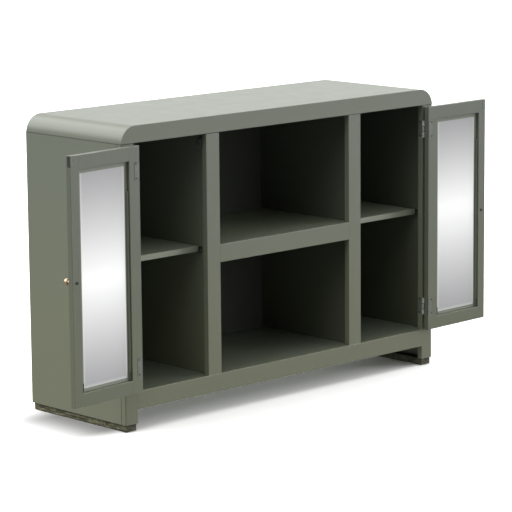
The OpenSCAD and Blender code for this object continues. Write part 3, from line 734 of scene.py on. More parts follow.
# Seamless matt background paper. To the eye: plain near-white that only shows the soft
# shadow. It takes more light than the object does, as paper lit on its own would.
@dataclass(frozen=True)
class StudioPaper(Finish):
    """Pale floor, darker along the side that is turned away from the light."""

    name: str = "matt_studio_paper"
    gain: float = 1.38
    mottle: float = 0.02
    mottle_mm: float = 400.0
    shade_m: float = 0.26
    shade_gain: float = 0.2
    soft_m: float = 0.12

    def shade(self, shader: Shader) -> None:
        """Plain pale paper with a soft shade beside the cabinet.

        Args:
            shader: New material to fill.
        """
        tones = {
            socket: (gain, gain, gain, 1.0)
            for socket, gain in (
                (FIRST, self.gain - self.mottle), (SECOND, self.gain + self.mottle)
            )
        }
        tone = shader.add(MIX, COLOUR, {SHARE: shader.cloud(self.mottle_mm), **tones})
        # The shade along the left side is drawn, because the soft light casts almost none.
        place = shader.add(SPLIT, None, {0: shader.place})
        low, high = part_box("left_side_panel")
        soft = self.soft_m
        shaded = 1.0
        for axis, nothing_at, full_at in (
            ("X", low.x - self.shade_m, low.x),
            ("X", low.x + soft / 6, low.x),
            ("Y", low.y - soft / 2, low.y + soft / 2),
            ("Y", high.y + soft / 2, high.y - soft),
        ):
            limits = {"From Min": nothing_at, "From Max": full_at}
            edge = shader.add(RANGE, SMOOTH, {"Value": place.outputs[axis], **limits})
            shaded = shader.add(MATH, TIMES, {0: shaded, 1: edge})
        near = shader.add(MATH, TIMES_PLUS, {0: shaded, 1: self.shade_gain - 1.0, 2: 1.0})
        tone = shader.add(VECTOR_MATH, {"operation": "SCALE"}, {0: tone, "Scale": near})
        paper = shader.add("ShaderNodeBsdfDiffuse", None, {"Color": tone})
        shader.add("ShaderNodeOutputMaterial", None, {"Surface": paper})


ENAMEL = SatinEnamel()
# The sides carry painted shade on their inner faces.
SIDE_ENAMEL_SHADED_INSIDE = SatinEnamel(name="satin_enamel_sides_shaded_inside", painted_shade_inside_share=0.6)
# Painted shade: a darker copy of the enamel for the doors.
SHADED_DOOR_ENAMEL = SatinEnamel(
    name="satin_enamel_doors_painted_shade", upper="#646A5F", lower="#696D58", patch="#62685A"
)
RAIL_ENAMEL = SatinEnamel(name="satin_enamel_rails", butted_share=0.5)
# Painted shade: a darker copy of the enamel for the bottom board inside the bays.
SHADED_BOTTOM_ENAMEL = SatinEnamel(
    name="satin_enamel_bottom_painted_shade", upper="#6D746B", lower="#6D7364", patch="#697065"
)
# Painted light: a lighter copy of the enamel for the side shelves, which sit in shade.
LIT_SHELF_ENAMEL = SatinEnamel(
    name="satin_enamel_shelves_painted_light", upper="#8E9588", lower="#8E917A", patch="#888E7E"
)
# Painted shade: a darker copy of the enamel for the right divider inside the bays.
SHADED_INSIDE_ENAMEL = SatinEnamel(
    name="satin_enamel_inside_painted_shade", upper="#555A51", lower="#55584A", patch="#52564B"
)
BOARD = RolledBackBoard()
SKID = ScuffedSoftwood()
LEFT_GLASS = EtchedGlass(name="etched_float_glass_left", band_to=0.51)
RIGHT_GLASS = EtchedGlass(name="etched_float_glass_right", band_from=0.515, band_to=0.565)
HINGE_STEEL = OverpaintedSteel()
DOOR_HINGE_STEEL = OverpaintedSteel(
    name="overpainted_steel_doors", paint="#6B7166", bare_share=0.6, outline_mm=3.4
)
CLIP_STEEL = OverpaintedSteel(name="overpainted_steel_clips", grime_and_shade="#55594E")
DARK_STEEL = BluedSheetSteel()
SCREW_STEEL = DarkenedZinc()
PLASTIC = MouldedPlastic()
BRASS = AgedBrass()
FLOOR = StudioPaper()


class Side(Enum):
    """Which side of the cabinet a piece is on; the value starts its pieces' names."""

    LEFT = "left"
    RIGHT = "right"


def keep_flats(thing: bpy.types.Object) -> bpy.types.Modifier:
    """Lets the large faces set the normals of the eased arrises between them.

    Args:
        thing: Object that gets the modifier.

    Returns:
        The modifier.
    """
    flat_first = thing.modifiers.new("flat_faces_stay_flat", "WEIGHTED_NORMAL")
    flat_first.weight = 100
    return flat_first


def dress(frame: dict[str, dict], node: str, finish: Finish, ease_mm: float = 0.0) -> None:
    """Gives a CAD node its finish, and eases its arrises.

    Args:
        node: Name of the node.
        finish: Finish of the whole node.
        ease_mm: Radius of the eased arrises, or 0 to leave them sharp.
    """
    thing = frame["nodes"][node]
    thing.data.materials.clear()
    thing.data.materials.append(finish.material())
    if ease_mm:
        weld = thing.modifiers.new("weld", "WELD")
        weld.merge_threshold = TOUCHING
        flat = thing.modifiers.new("flat_faces", "DECIMATE")
        flat.decimate_type = "DISSOLVE"
        flat.angle_limit = math.radians(FLAT_DEG)
        ease = thing.modifiers.new("eased_arris", "BEVEL")
        ease.limit_method = "ANGLE"
        ease.angle_limit = math.radians(SHARP_DEG)
        ease.width = ease_mm * MM
        ease.segments = EASE_STEPS
        keep_flats(thing)
    LOG.info("dressed %s in %s", node, finish.material().name)


def finished_piece(
    name: str,
    shape: bmesh.types.BMesh,
    finishes: list[Finish],
    body: str,
    stands_for: list[str],
) -> None:
    """Turns a shape in the row frame into a piece that rides on a body.

    Args:
        name: Name of the piece.
        shape: Its mesh, in metres; it is freed.
        finishes: Finishes for its material numbers.
        body: CAD body that it rides on.
        stands_for: CAD nodes that it replaces.
    """
    mesh = bpy.data.meshes.new(name)
    shape.to_mesh(mesh)
    shape.free()
    for finish in finishes:
        mesh.materials.append(finish.material())
    mesh.shade_smooth()
    mesh.set_sharp_from_angle(angle=math.radians(SHARP_DEG))
    piece = bpy.data.objects.new(name, mesh)
    bpy.context.scene.collection.objects.link(piece)
    keep_flats(piece).keep_sharp = True
    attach(piece, body)
    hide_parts(*stands_for)
    LOG.info("built %s in place of %s", name, ", ".join(stands_for))


def ease_edges(shape: bmesh.types.BMesh, edges: list[bmesh.types.BMEdge], radius_mm: float) -> None:
    """Rounds chosen edges of a shape.

    Args:
        shape: Mesh that is changed.
        edges: Edges to round.
        radius_mm: Radius of the rounding.
    """
    bmesh.ops.bevel(
        shape,
        geom=edges,
        offset=radius_mm * MM,
        offset_type="OFFSET",
        segments=EASE_STEPS,
        profile=0.5,
        affect="EDGES",
        clamp_overlap=True,
    )


def bridge(
    shape: bmesh.types.BMesh, near: list[bmesh.types.BMVert], far: list[bmesh.types.BMVert]
) -> None:
    """Joins two closed rings of as many points with faces, or a ring to a single point.

    Args:
        shape: Mesh that is changed.
        near: First ring.
        far: Second ring.
    """
    count = max(len(near), len(far))
    for i in range(count):
        after = (i + 1) % count
        if len(near) == 1:
            shape.faces.new((near[0], far[i], far[after]))
        elif len(far) == 1:
            shape.faces.new((near[i], near[after], far[0]))
        else:
            shape.faces.new((near[i], near[after], far[after], far[i]))


def sharp_edges(shape: bmesh.types.BMesh) -> list[bmesh.types.BMEdge]:
    """Edges of a closed shape that turn enough to be arrises.

    Args:
        shape: Mesh to look through.

    Returns:
        The edges.
    """
    least = math.radians(SHARP_DEG)
    return [e for e in shape.edges if e.is_manifold and e.calc_face_angle() > least]


def islands(frame: dict[str, dict], node: str) -> list[list[Vector]]:
    """The separate solids of a CAD node.

    Args:
        node: Name of the node.

    Returns:
        The points of each solid.
    """
    shape = bmesh.new()
    shape.from_mesh(frame["nodes"][node].data)
    bmesh.ops.remove_doubles(shape, verts=shape.verts, dist=TOUCHING)
    left = set(shape.verts)
    found = []
    while left:
        queue = [left.pop()]
        points = []
        while queue:
            vertex = queue.pop()
            points.append(vertex.co.copy())
            for edge in vertex.link_edges:
                other = edge.other_vert(vertex)
                if other in left:
                    left.remove(other)
                    queue.append(other)
        found.append(points)
    shape.free()
    return sorted(found, key=lambda pts: tuple(round(c, 4) for c in min(map(tuple, pts))))


@dataclass
class TopCap:
    """Top board, front rail and rounded shoulders as the one painted cap that they look."""

    frame: dict[str, dict]
    shoulder_mm: float = 51.0
    steps: int = 20
    front_ease_mm: float = 1.0
    other_ease_mm: float = 1.6

    def outline(self) -> list[tuple[float, float]]:
        """Walks round the outside of the cap.

        Returns:
            X and Z of its points, from its lower left to its lower right corner.
        """
        low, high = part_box("top_rail")
        radius = self.shoulder_mm * MM
        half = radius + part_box("top_panel")[1].x
        centre_z = high.z - radius
        first = math.asin((low.z - centre_z) / radius)
        sweep = math.pi / 2 - first
        turns = [first + sweep * i / self.steps for i in range(self.steps + 1)]
        right = [
            (half - radius + radius * math.cos(t), centre_z + radius * math.sin(t)) for t in turns
        ]
        return [(-x, z) for x, z in right] + right[::-1]

    def build(self) -> None:
        """Builds the cap over the four CAD nodes that it joins."""
        rail_low, rail_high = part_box("top_rail")
        board_low, board_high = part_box("top_panel")
        outer = self.outline()
        inner = [
            (board_high.x, rail_low.z),
            (board_high.x, board_low.z),
            (board_low.x, board_low.z),
            (board_low.x, rail_low.z),
        ]
        shape = bmesh.new()
        front, middle, back, in_middle, in_back = (
            [shape.verts.new((x, y, z)) for x, z in profile]
            for profile, y in (
                (outer, rail_low.y),
                (outer, rail_high.y),
                (outer, board_high.y),
                (inner, rail_high.y),
                (inner, board_high.y),
            )
        )
        shape.faces.new(front)
        for near, far in ((front, middle), (middle, back)):
            for i in range(len(outer) - 1):
                shape.faces.new((near[i], far[i], far[i + 1], near[i + 1]))
        shape.faces.new((front[-1], middle[-1], in_middle[0], in_middle[3], middle[0], front[0]))
        shape.faces.new((middle[-1], back[-1], in_back[0], in_middle[0]))
        shape.faces.new((in_middle[3], in_back[3], back[0], middle[0]))
        for i in range(3):
            shape.faces.new((in_middle[i], in_back[i], in_back[i + 1], in_middle[i + 1]))
        shape.faces.new(in_middle)
        shape.faces.new(back[::-1] + in_back[::-1])
        bmesh.ops.recalc_face_normals(shape, faces=shape.faces)
        rim = [
            e
            for e in sharp_edges(shape)
            if all(abs(v.co.y - rail_low.y) < TOUCHING for v in e.verts)
            and max(v.co.z for v in e.verts) > rail_low.z + TOUCHING
        ]
        ease_edges(shape, rim, self.front_ease_mm)
        rest = [
            e
            for e in sharp_edges(shape)
            if max(v.co.y for v in e.verts) > rail_low.y + self.front_ease_mm * MM * 1.5
            or max(v.co.z for v in e.verts) < rail_low.z + TOUCHING
        ]
        ease_edges(shape, rest, self.other_ease_mm)
        nodes = ["top_panel", "top_rail", "left_shoulder", "right_shoulder"]
        finished_piece("top_cap", shape, [ENAMEL], "cabinet", nodes)


@dataclass
class Carcass:
    """Boards, rails, stiles and shelves of the cabinet body."""

    frame: dict[str, dict]
    ease_mm: float = 0.3
    side_ease_mm: float = 1.3
    paired: tuple[str, ...] = ("corner_stile", "divider_stile")

    def build(self) -> None:
        """Builds the cap and gives every board its finish."""
        TopCap(self.frame).build()
        for node in ("bottom_rail", "middle_rail"):
            dress(self.frame, node, RAIL_ENAMEL, self.ease_mm)
        dress(self.frame, "middle_shelf", ENAMEL, self.ease_mm)
        dress(self.frame, "bottom_panel", SHADED_BOTTOM_ENAMEL, self.ease_mm)
        for side in Side:
            for part in self.paired:
                dress(self.frame, f"{side.value}_{part}", ENAMEL, self.ease_mm)
            dress(self.frame, f"{side.value}_side_panel", SIDE_ENAMEL_SHADED_INSIDE, self.side_ease_mm)
            dress(self.frame, f"{side.value}_side_shelf", LIT_SHELF_ENAMEL, self.ease_mm)
        dress(self.frame, "left_divider_panel", ENAMEL, self.ease_mm)
        dress(self.frame, "right_divider_panel", SHADED_INSIDE_ENAMEL, self.ease_mm)
        dress(self.frame, "back_panel", BOARD, self.ease_mm / 2)


@dataclass
class FootSkid:
    """Runner under a side, its arrises rubbed away unevenly."""

    frame: dict[str, dict]
    side: Side
    stations: int = 110
    chamfer_mm: float = 1.2
    wear_mm: float = 1.3
    wear_length_mm: float = 26.0
    least_wear: float = 0.35
    uneven_wear: float = 0.65
    wear_bias: float = 0.35
    edge_spread: float = 3.1
    side_spread: float = 40.0

    def build(self) -> None:
        """Sweeps the worn section from front to back."""
        node = f"{self.side.value}_foot_skid"
        low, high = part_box(node)
        cut = self.chamfer_mm * MM
        half = [
            (0.0, high.z, 0.0),
            (0.0, low.z + 3 * cut, 0.15),
            (0.0, low.z + cut, 0.8),
            (cut * 0.3, low.z + cut * 0.3, 1.0),
            (cut, low.z, 0.5),
        ]
        section = [(low.x + inset, z, share) for inset, z, share in half]
        section += [(high.x - inset, z, share) for inset, z, share in reversed(half)]
        middle = Vector(((low.x + high.x) / 2, 0.0, high.z))
        shape = bmesh.new()
        rings = []
        for i in range(self.stations + 1):
            y = low.y + (high.y - low.y) * i / self.stations
            end = min(y - low.y, high.y - y)
            ring = []
            for k, (x, z, share) in enumerate(section):
                place = Vector((x, y, z))
                along = y / (self.wear_length_mm * MM)
                rough = noise.noise(Vector((k * self.edge_spread, along, low.x * self.side_spread)))
                worn = self.least_wear + self.uneven_wear * max(0.0, rough + self.wear_bias)
                inward = (middle - Vector((x, 0.0, z))).normalized()
                place += inward * worn * share * self.wear_mm * MM
                place.z += max(0.0, cut - end) * (1.0 if z < high.z - cut else 0.0)
                if 0 < k < len(section) - 1:
                    place.z = max(place.z, low.z)
                ring.append(shape.verts.new(place))
            rings.append(ring)
        for near, far in zip(rings, rings[1:]):
            bridge(shape, near, far)
        shape.faces.new(rings[0])
        shape.faces.new(rings[-1][::-1])
        bmesh.ops.recalc_face_normals(shape, faces=shape.faces)
        finished_piece(f"{self.side.value}_runner", shape, [SKID], "cabinet", [node])


@dataclass
class ScrewSet:
    """Cross-recess screws in place of the plain ones of a CAD node."""

    frame: dict[str, dict]
    node: str
    body: str
    head_mm: float = 4.8
    neck_mm: float = 2.6
    head_height_mm: float = 1.0
    crown_mm: float = 0.15
    crown_share: float = 0.78
    shank_mm: float = 2.6
    recess_length_mm: float = 2.9
    recess_width_mm: float = 0.75
    recess_depth_mm: float = 0.8
    level_m: float = 1e-5
    weld_m: float = 1e-7
    seed: int = 7
    tree_name: str = "screws_on_points"

    def places(self) -> list[tuple[Vector, Vector, float]]:
        """Reads the screws of the node off its mesh.

        Returns:
            Head centre, way out and length of each screw.
        """
        found = []
        for points in islands(self.frame, self.node):
            middle = sum(points, Vector()) / len(points)
            axis = self.long_axis(points, middle)
            along = [(p - middle).dot(axis) for p in points]
            top, foot = max(along), min(along)
            width_at = {
                end: max(
                    ((p - middle) - axis * (p - middle).dot(axis)).length
                    for p, a in zip(points, along)
                    if abs(a - end) < self.level_m
                )
                for end in (top, foot)
            }
            if width_at[foot] > width_at[top]:
                axis, top, foot = -axis, -foot, -top
            found.append((middle + axis * top, axis, top - foot))
        return found

    @staticmethod
    def long_axis(points: list[Vector], middle: Vector) -> Vector:
        """The direction that a set of points is longest in.

        Args:
            points: Points of a solid.
            middle: Their mean.

        Returns:
            A unit vector.
        """
        axis = (max(points, key=lambda p: (p - middle).length) - middle).normalized()
        for _ in range(AXIS_ROUNDS):
            axis = sum(
                ((p - middle) * (p - middle).dot(axis) for p in points), Vector()
            ).normalized()
        return axis

    def inputs(self, length: float) -> dict[str, float | int | bpy.types.Material]:
        """Sizes, seed and finish of the screws, by the names of the tree's inputs.

        Args:
            length: Length of the screws over their heads, in metres.

        Returns:
            The inputs; every size is in metres.
        """
        return {
            "Head Radius": self.head_mm / 2 * MM,
            "Neck Radius": self.neck_mm / 2 * MM,
            "Head Height": (self.head_height_mm - self.crown_mm) * MM,
            "Crown Height": self.crown_mm * MM,
            "Shank Radius": self.shank_mm / 2 * MM,
            "Length": length,
            "Recess Length": self.recess_length_mm * MM,
            "Recess Width": self.recess_width_mm * MM,
            "Recess Depth": self.recess_depth_mm * MM,
            "Turn Seed": self.seed,
            "Finish": SCREW_STEEL.material(),
        }

    def tree(self) -> bpy.types.NodeTree:
        """The node tree that puts a screw on every point, made when it is first needed.

        Returns:
            The tree; its inputs are the points, the sizes, the seed and the material.
        """
        if self.tree_name in bpy.data.node_groups:
            return bpy.data.node_groups[self.tree_name]
        tree = bpy.data.node_groups.new(self.tree_name, "GeometryNodeTree")
        face = tree.interface
        face.new_socket("Points", in_out="INPUT", socket_type="NodeSocketGeometry")
        for name, value in self.inputs(length=0.0).items():
            kind = {float: "Float", int: "Int"}.get(type(value), "Material")
            face.new_socket(name, in_out="INPUT", socket_type=f"NodeSocket{kind}")
        face.new_socket("Screws", in_out="OUTPUT", socket_type="NodeSocketGeometry")
        given = add_node(tree, "NodeGroupInput").outputs

        # The head: a cone to the neck with a low crown on it, its top at Z = 0.
        rim_z = add_node(tree, MATH, TIMES, {0: given["Crown Height"], 1: -1.0})
        neck_z = add_node(tree, MATH, MINUS, {0: rim_z, 1: given["Head Height"]})
        crown_radius = add_node(tree, MATH, TIMES, {0: given["Head Radius"], 1: self.crown_share})
        cones = []
        for top, bottom, depth, foot_z in (
            (given["Head Radius"], given["Neck Radius"], given["Head Height"], neck_z),
            (crown_radius, given["Head Radius"], given["Crown Height"], rim_z),
        ):
            sizes = {"Radius Top": top, "Radius Bottom": bottom, "Depth": depth}
            cone = add_node(tree, "GeometryNodeMeshCone", None, {"Vertices": 32, **sizes})
            offset = add_node(tree, JOIN, None, {"Z": foot_z})
            cones.append(add_node(tree, MOVE, None, {"Geometry": cone, "Translation": offset}))
        union = {"operation": "UNION", "solver": "EXACT"}
        head = add_node(tree, BOOLEAN, union, {"Mesh 2": cones})

        # The cross recess: two bars that reach as deep below Z = 0 as above it.
        bar_height = add_node(tree, MATH, TIMES, {0: given["Recess Depth"], 1: 2.0})
        sizes = {"X": given["Recess Length"], "Y": given["Recess Width"], "Z": bar_height}
        size = add_node(tree, JOIN, None, sizes)
        arms = []
        for turn in (0.0, math.pi / 2):
            bar = add_node(tree, "GeometryNodeMeshCube", None, {"Size": size})
            arms.append(add_node(tree, MOVE, None, {"Geometry": bar, "Rotation": (0.0, 0.0, turn)}))
        difference = {"operation": "DIFFERENCE", "solver": "EXACT"}
        recessed = add_node(tree, BOOLEAN, difference, {"Mesh 1": head, "Mesh 2": arms})

        # The shank, from the neck to the tip.
        shank_length = add_node(tree, MATH, PLUS, {0: given["Length"], 1: neck_z})
        sizes = {"Radius": given["Shank Radius"], "Depth": shank_length}
        shank = add_node(tree, "GeometryNodeMeshCylinder", None, {"Vertices": 16, **sizes})
        half_shank = add_node(tree, MATH, TIMES, {0: shank_length, 1: 0.5})
        middle_z = add_node(tree, MATH, MINUS, {0: neck_z, 1: half_shank})
        shank_place = add_node(tree, JOIN, None, {"Z": middle_z})
        shank = add_node(tree, MOVE, None, {"Geometry": shank, "Translation": shank_place})
        screw = add_node(tree, "GeometryNodeJoinGeometry", None, {0: [shank, recessed]})

        # Each point turns its screw to its own aim, and by a random share of half a turn.
        aim = add_node(
            tree, "GeometryNodeInputNamedAttribute", {"data_type": "FLOAT_VECTOR"}, {"Name": "aim"}
        ).outputs["Attribute"]
        aimed = add_node(tree, "FunctionNodeAlignRotationToVector", {"axis": "Z"}, {"Vector": aim})
        share = {"Seed": given["Turn Seed"], 3: math.pi}
        turn = add_node(tree, "FunctionNodeRandomValue", {"data_type": "FLOAT"}, share)
        spin = add_node(tree, JOIN, None, {"Z": turn})
        spin = add_node(tree, "FunctionNodeEulerToRotation", None, {0: spin})
        local, turns = {"rotation_space": "LOCAL"}, {"Rotation": aimed, "Rotate By": spin}
        rotation = add_node(tree, "FunctionNodeRotateRotation", local, turns)
        copies = {"Points": given["Points"], "Instance": screw, "Rotation": rotation}
        placed = add_node(tree, "GeometryNodeInstanceOnPoints", None, copies)
        real = add_node(tree, "GeometryNodeRealizeInstances", None, {"Geometry": placed})
        painted = add_node(
            tree, "GeometryNodeSetMaterial", None, {"Geometry": real, "Material": given["Finish"]}
        )
        add_node(tree, "NodeGroupOutput", None, {0: painted})
        return tree

    def build(self) -> None:
        """Puts the screws in and turns them into one plain mesh."""
        name = f"{self.node}_cross"
        places = self.places()
        seeds = bpy.data.meshes.new(f"{name}_points")
        seeds.from_pydata([p for p, _, _ in places], [], [])
        aim = seeds.attributes.new("aim", "FLOAT_VECTOR", "POINT")
        for spot, (_, way, _) in zip(aim.data, places):
            spot.vector = way
        holder = bpy.data.objects.new(f"{name}_points", seeds)
        bpy.context.scene.collection.objects.link(holder)
        tree = self.tree()
        screws = holder.modifiers.new("screws", "NODES")
        screws.node_group = tree
        values = self.inputs(max(length for _, _, length in places))
        for item in tree.interface.items_tree:
            if item.item_type == "SOCKET" and item.name in values:
                screws[item.identifier] = values[item.name]
        seen = holder.evaluated_get(bpy.context.evaluated_depsgraph_get())
        mesh = bpy.data.meshes.new_from_object(seen)
        bpy.data.objects.remove(holder)
        shape = bmesh.new()
        shape.from_mesh(mesh)
        bmesh.ops.remove_doubles(shape, verts=shape.verts, dist=self.weld_m)
        finished_piece(name, shape, [SCREW_STEEL], self.body, [self.node])


@dataclass
class CabinetFittings:
    """Hinge leaves, catches, clips and screws that stay on the cabinet body."""

    frame: dict[str, dict]
    leaf_ease_mm: float = 0.25
    clip_ease_mm: float = 0.3
    catch_ease_mm: float = 0.8
    screws: tuple[str, ...] = (
        "frame_leaf_screws", "catch_screws", "shelf_clip_screws", "back_panel_screws"
    )

    def build(self) -> None:
        """Gives every fitting its finish and puts the screws in."""
        dress(self.frame, "frame_hinge_leaves", HINGE_STEEL, self.leaf_ease_mm)
        dress(self.frame, "hinge_pins", HINGE_STEEL, self.leaf_ease_mm)
        dress(self.frame, "shelf_clips", DARK_STEEL, self.clip_ease_mm)
        dress(self.frame, "catch_bodies", PLASTIC, self.catch_ease_mm)
        dress(self.frame, "catch_magnets", SCREW_STEEL, self.clip_ease_mm)
        for node in self.screws:
            ScrewSet(self.frame, node, "cabinet").build()


@dataclass
class Door:
    """One glazed door with its knob, strike plate and hinge leaves."""

    frame: dict[str, dict]
    side: Side
    hinge_gap_mm: float = 1.5
    pin_stand_off_mm: float = 3.8
    ease_mm: float = 0.3
    lip_mm: float = 12.0
    foot_lip_mm: float = 9.5
    pane_gap_mm: float = 0.5
    pane_ease_mm: float = 0.5
    bead_round_mm: float = 3.6
    bead_steps: int = 8
    strike_t_mm: float = 1.0
    strike_corner_mm: float = 2.0
    corner_steps: int = 6
    fitting_ease_mm: float = 0.2
    knob_groove_mm: float = 0.35
    knob_steps: int = 64

    def __post_init__(self) -> None:
        """Works out where the door hangs, as drawn closed and then swung open."""
        joint = next(
            j for j in self.frame["joints"] if j["name"] == f"{self.side.value}_door_hinge"
        )
        sense = 1.0 if self.side is Side.LEFT else -1.0
        open_turn = -joint["range_deg"][0] * joint["axis"][2]
        pin = joint["pos_m"]
        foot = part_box(self.node("hinge_stile"))[0].z
        self.place = (
            Matrix.Translation((pin[0], pin[1], foot))
            @ Matrix.Rotation(math.radians(open_turn), 4, "Z")
            @ Matrix.Translation((sense * self.hinge_gap_mm * MM, self.pin_stand_off_mm * MM, 0.0))
            @ Matrix.Diagonal((sense, 1.0, 1.0, 1.0))
        )
        self.body = f"{self.side.value}_door"

    def node(self, part: str) -> str:
        """Name of the CAD node of a part of this door."""
        return f"{self.side.value}_door_{part}"

    def own_box(self, points: list[Vector]) -> tuple[Vector, Vector]:
        """Lowest and highest corner in the door's own frame.

        Args:
            points: Points in the row frame.

        Returns:
            Two corners: X from the hinge edge, Y from the outer face, Z from the foot.
        """
        back = self.place.inverted()
        own = [back @ p for p in points]
        return (
            Vector([min(p[i] for p in own) for i in range(3)]),
            Vector([max(p[i] for p in own) for i in range(3)]),
        )

    def part_box(self, part: str) -> tuple[Vector, Vector]:
        """Box of a whole part, in the door's own frame."""
        vertices = self.frame["nodes"][self.node(part)].data.vertices
        return self.own_box([vertex.co for vertex in vertices])

    def own_boxes(self, part: str) -> list[tuple[Vector, Vector]]:
        """Boxes of the separate solids of a part, in the door's own frame."""
        return [self.own_box(points) for points in islands(self.frame, self.node(part))]

    def hang(
        self, name: str, shape: bmesh.types.BMesh, finishes: list[Finish], part: str
    ) -> None:
        """Turns a shape from the door's own frame into a piece on the door.

        Args:
            name: Name of the piece after the side.
            shape: Its mesh in the door's own frame.
            finishes: Finishes for its material numbers.
            part: Part whose CAD node it replaces.
        """
        bmesh.ops.transform(shape, matrix=self.place, verts=shape.verts)
        bmesh.ops.recalc_face_normals(shape, faces=shape.faces)
        finished_piece(
            f"{self.side.value}_{name}", shape, finishes, self.body, [self.node(part)]
        )

    def build_beads(self) -> None:
        """Ovolo beads: square to the stile and the glass, rounded towards the room."""
        shape = bmesh.new()
        stile_faces = [self.part_box(p) for p in ("hinge_stile", "free_stile")]
        radius = self.bead_round_mm * MM
        for low, high in self.own_boxes("beads"):
            at_hinge = abs(low.x - stile_faces[0][1].x) < abs(high.x - stile_faces[1][0].x)
            near, far = (high.x, low.x) if at_hinge else (low.x, high.x)
            inward = 1.0 if near < far else -1.0
            section = [(far, low.y), (far, high.y)]
            for i in range(self.bead_steps + 1):
                turn = math.pi / 2 * (1 - i / self.bead_steps)
                aside, back = radius * (1 - math.cos(turn)), radius * (1 - math.sin(turn))
                section.append((near + inward * aside, high.y - back))
            section.append((near, low.y))
            foot = [shape.verts.new((x, y, low.z)) for x, y in section]
            head = [shape.verts.new((x, y, high.z)) for x, y in section]
            bridge(shape, foot, head)
            shape.faces.new(foot[::-1])
            shape.faces.new(head)
        bmesh.ops.recalc_face_normals(shape, faces=shape.faces)
        ease_edges(shape, sharp_edges(shape), self.ease_mm)
        self.hang("glazing_beads", shape, [SHADED_DOOR_ENAMEL], "beads")

    def build_pane(self) -> None:
        """Pane with ground arrises; its own map runs over the part inside the lip."""
        low, high = self.part_box("pane")
        shape = bmesh.new()
        bmesh.ops.create_cube(shape, size=1.0)
        size, middle = high - low, (high + low) / 2
        for vertex in shape.verts:
            vertex.co = Vector(c * s for c, s in zip(vertex.co, size)) + middle
        ease_edges(shape, list(shape.edges), self.pane_ease_mm)
        margin = (self.lip_mm - self.pane_gap_mm) * MM
        foot = (self.foot_lip_mm - self.pane_gap_mm) * MM
        film_low = Vector((low.x + margin, low.z + foot))
        film_size = Vector((size.x - 2 * margin, size.z - margin - foot))
        own_map = shape.loops.layers.uv.new("film")
        for face in shape.faces:
            for loop in face.loops:
                flat = Vector((loop.vert.co.x, loop.vert.co.z)) - film_low
                loop[own_map].uv = (flat.x / film_size.x, flat.y / film_size.y)
        glass = LEFT_GLASS if self.side is Side.LEFT else RIGHT_GLASS
        self.hang("glass", shape, [glass], "pane")

    def build_knob(self) -> None:
        """Turned knob with a rounded crown, a grooved rim and a flared foot."""
        low, high = self.part_box("knob")
        axis_x, axis_z = (low.x + high.x) / 2, (low.z + high.z) / 2
        reach, radius = high.y - low.y, (high.x - low.x) / 2
        shallow, deep = (1 - k * self.knob_groove_mm * MM / radius for k in (1.0, 1.6))
        # Shares of the knob's radius and of how far it stands out.
        crown = [(0.0, 1.0), (0.34, 0.998), (0.62, 0.985), (0.82, 0.955), (0.94, 0.915)]
        upper_rim = [(shallow, 0.87), (1.0, 0.83), (1.0, 0.79), (deep, 0.775), (deep, 0.755)]
        lower_rim = [(1.0, 0.74), (1.0, 0.68), (0.93, 0.63), (0.72, 0.59), (0.52, 0.555)]
        neck = [(0.44, 0.48), (0.42, 0.36), (0.43, 0.22), (0.5, 0.14)]
        foot = [(0.62, 0.095), (0.7, 0.08), (0.72, 0.06), (0.72, 0.0), (0.0, 0.0)]
        shape = bmesh.new()
        rings = []
        for across, out in crown + upper_rim + lower_rim + neck + foot:
            ring = []
            for i in range(self.knob_steps if across else 1):
                turn = 2 * math.pi * i / self.knob_steps
                x = axis_x + radius * across * math.cos(turn)
                z = axis_z + radius * across * math.sin(turn)
                ring.append(shape.verts.new((x, high.y - reach * out, z)))
            rings.append(ring)
        for near, far in zip(rings, rings[1:]):
            bridge(shape, near, far)
        bmesh.ops.recalc_face_normals(shape, faces=shape.faces)
        self.hang("turned_knob", shape, [BRASS], "knob")

    def build_strike(self) -> None:
        """Bent strike plate with rounded corners; the leg on the door's edge is bare steel."""
        low, high = self.part_box("strike")
        thick, corner = self.strike_t_mm * MM, self.strike_corner_mm * MM
        shape = bmesh.new()

        def plate(
            origin: Vector, across: Vector, length: float, height: float, out: Vector
        ) -> None:
            """A plate with its two far corners rounded.

            Args:
                origin: Corner at the bend and the foot.
                across: Way from the bend to the far edge.
                length: Reach from the bend.
                height: Height of the plate.
                out: Way that the plate is thick in.
            """
            up = Vector((0.0, 0.0, 1.0))
            rim = [(0.0, 0.0)]
            for middle_z, first in ((corner, -math.pi / 2), (height - corner, 0.0)):
                for i in range(self.corner_steps + 1):
                    turn = first + math.pi / 2 * i / self.corner_steps
                    reach = length - corner + corner * math.cos(turn)
                    rim.append((reach, middle_z + corner * math.sin(turn)))
            rim.append((0.0, height))
            inner = [shape.verts.new(origin + across * a + up * b) for a, b in rim]
            outer = [shape.verts.new(vertex.co + out * thick) for vertex in inner]
            bridge(shape, inner, outer)
            shape.faces.new(inner[::-1])
            shape.faces.new(outer)

        height = high.z - low.z
        inner_corner = Vector((high.x - thick, high.y - thick, low.z))
        bend = Vector((inner_corner.x, high.y, low.z))
        right, back = Vector((1.0, 0.0, 0.0)), Vector((0.0, 1.0, 0.0))
        plate(inner_corner, -right, inner_corner.x - low.x, height, back)
        face_leg = set(shape.faces)
        plate(bend, -back, high.y - low.y, height, right)
        for face in shape.faces:
            face.material_index = 0 if face in face_leg else 1
        self.hang("strike_plate", shape, [HINGE_STEEL, DARK_STEEL], "strike")

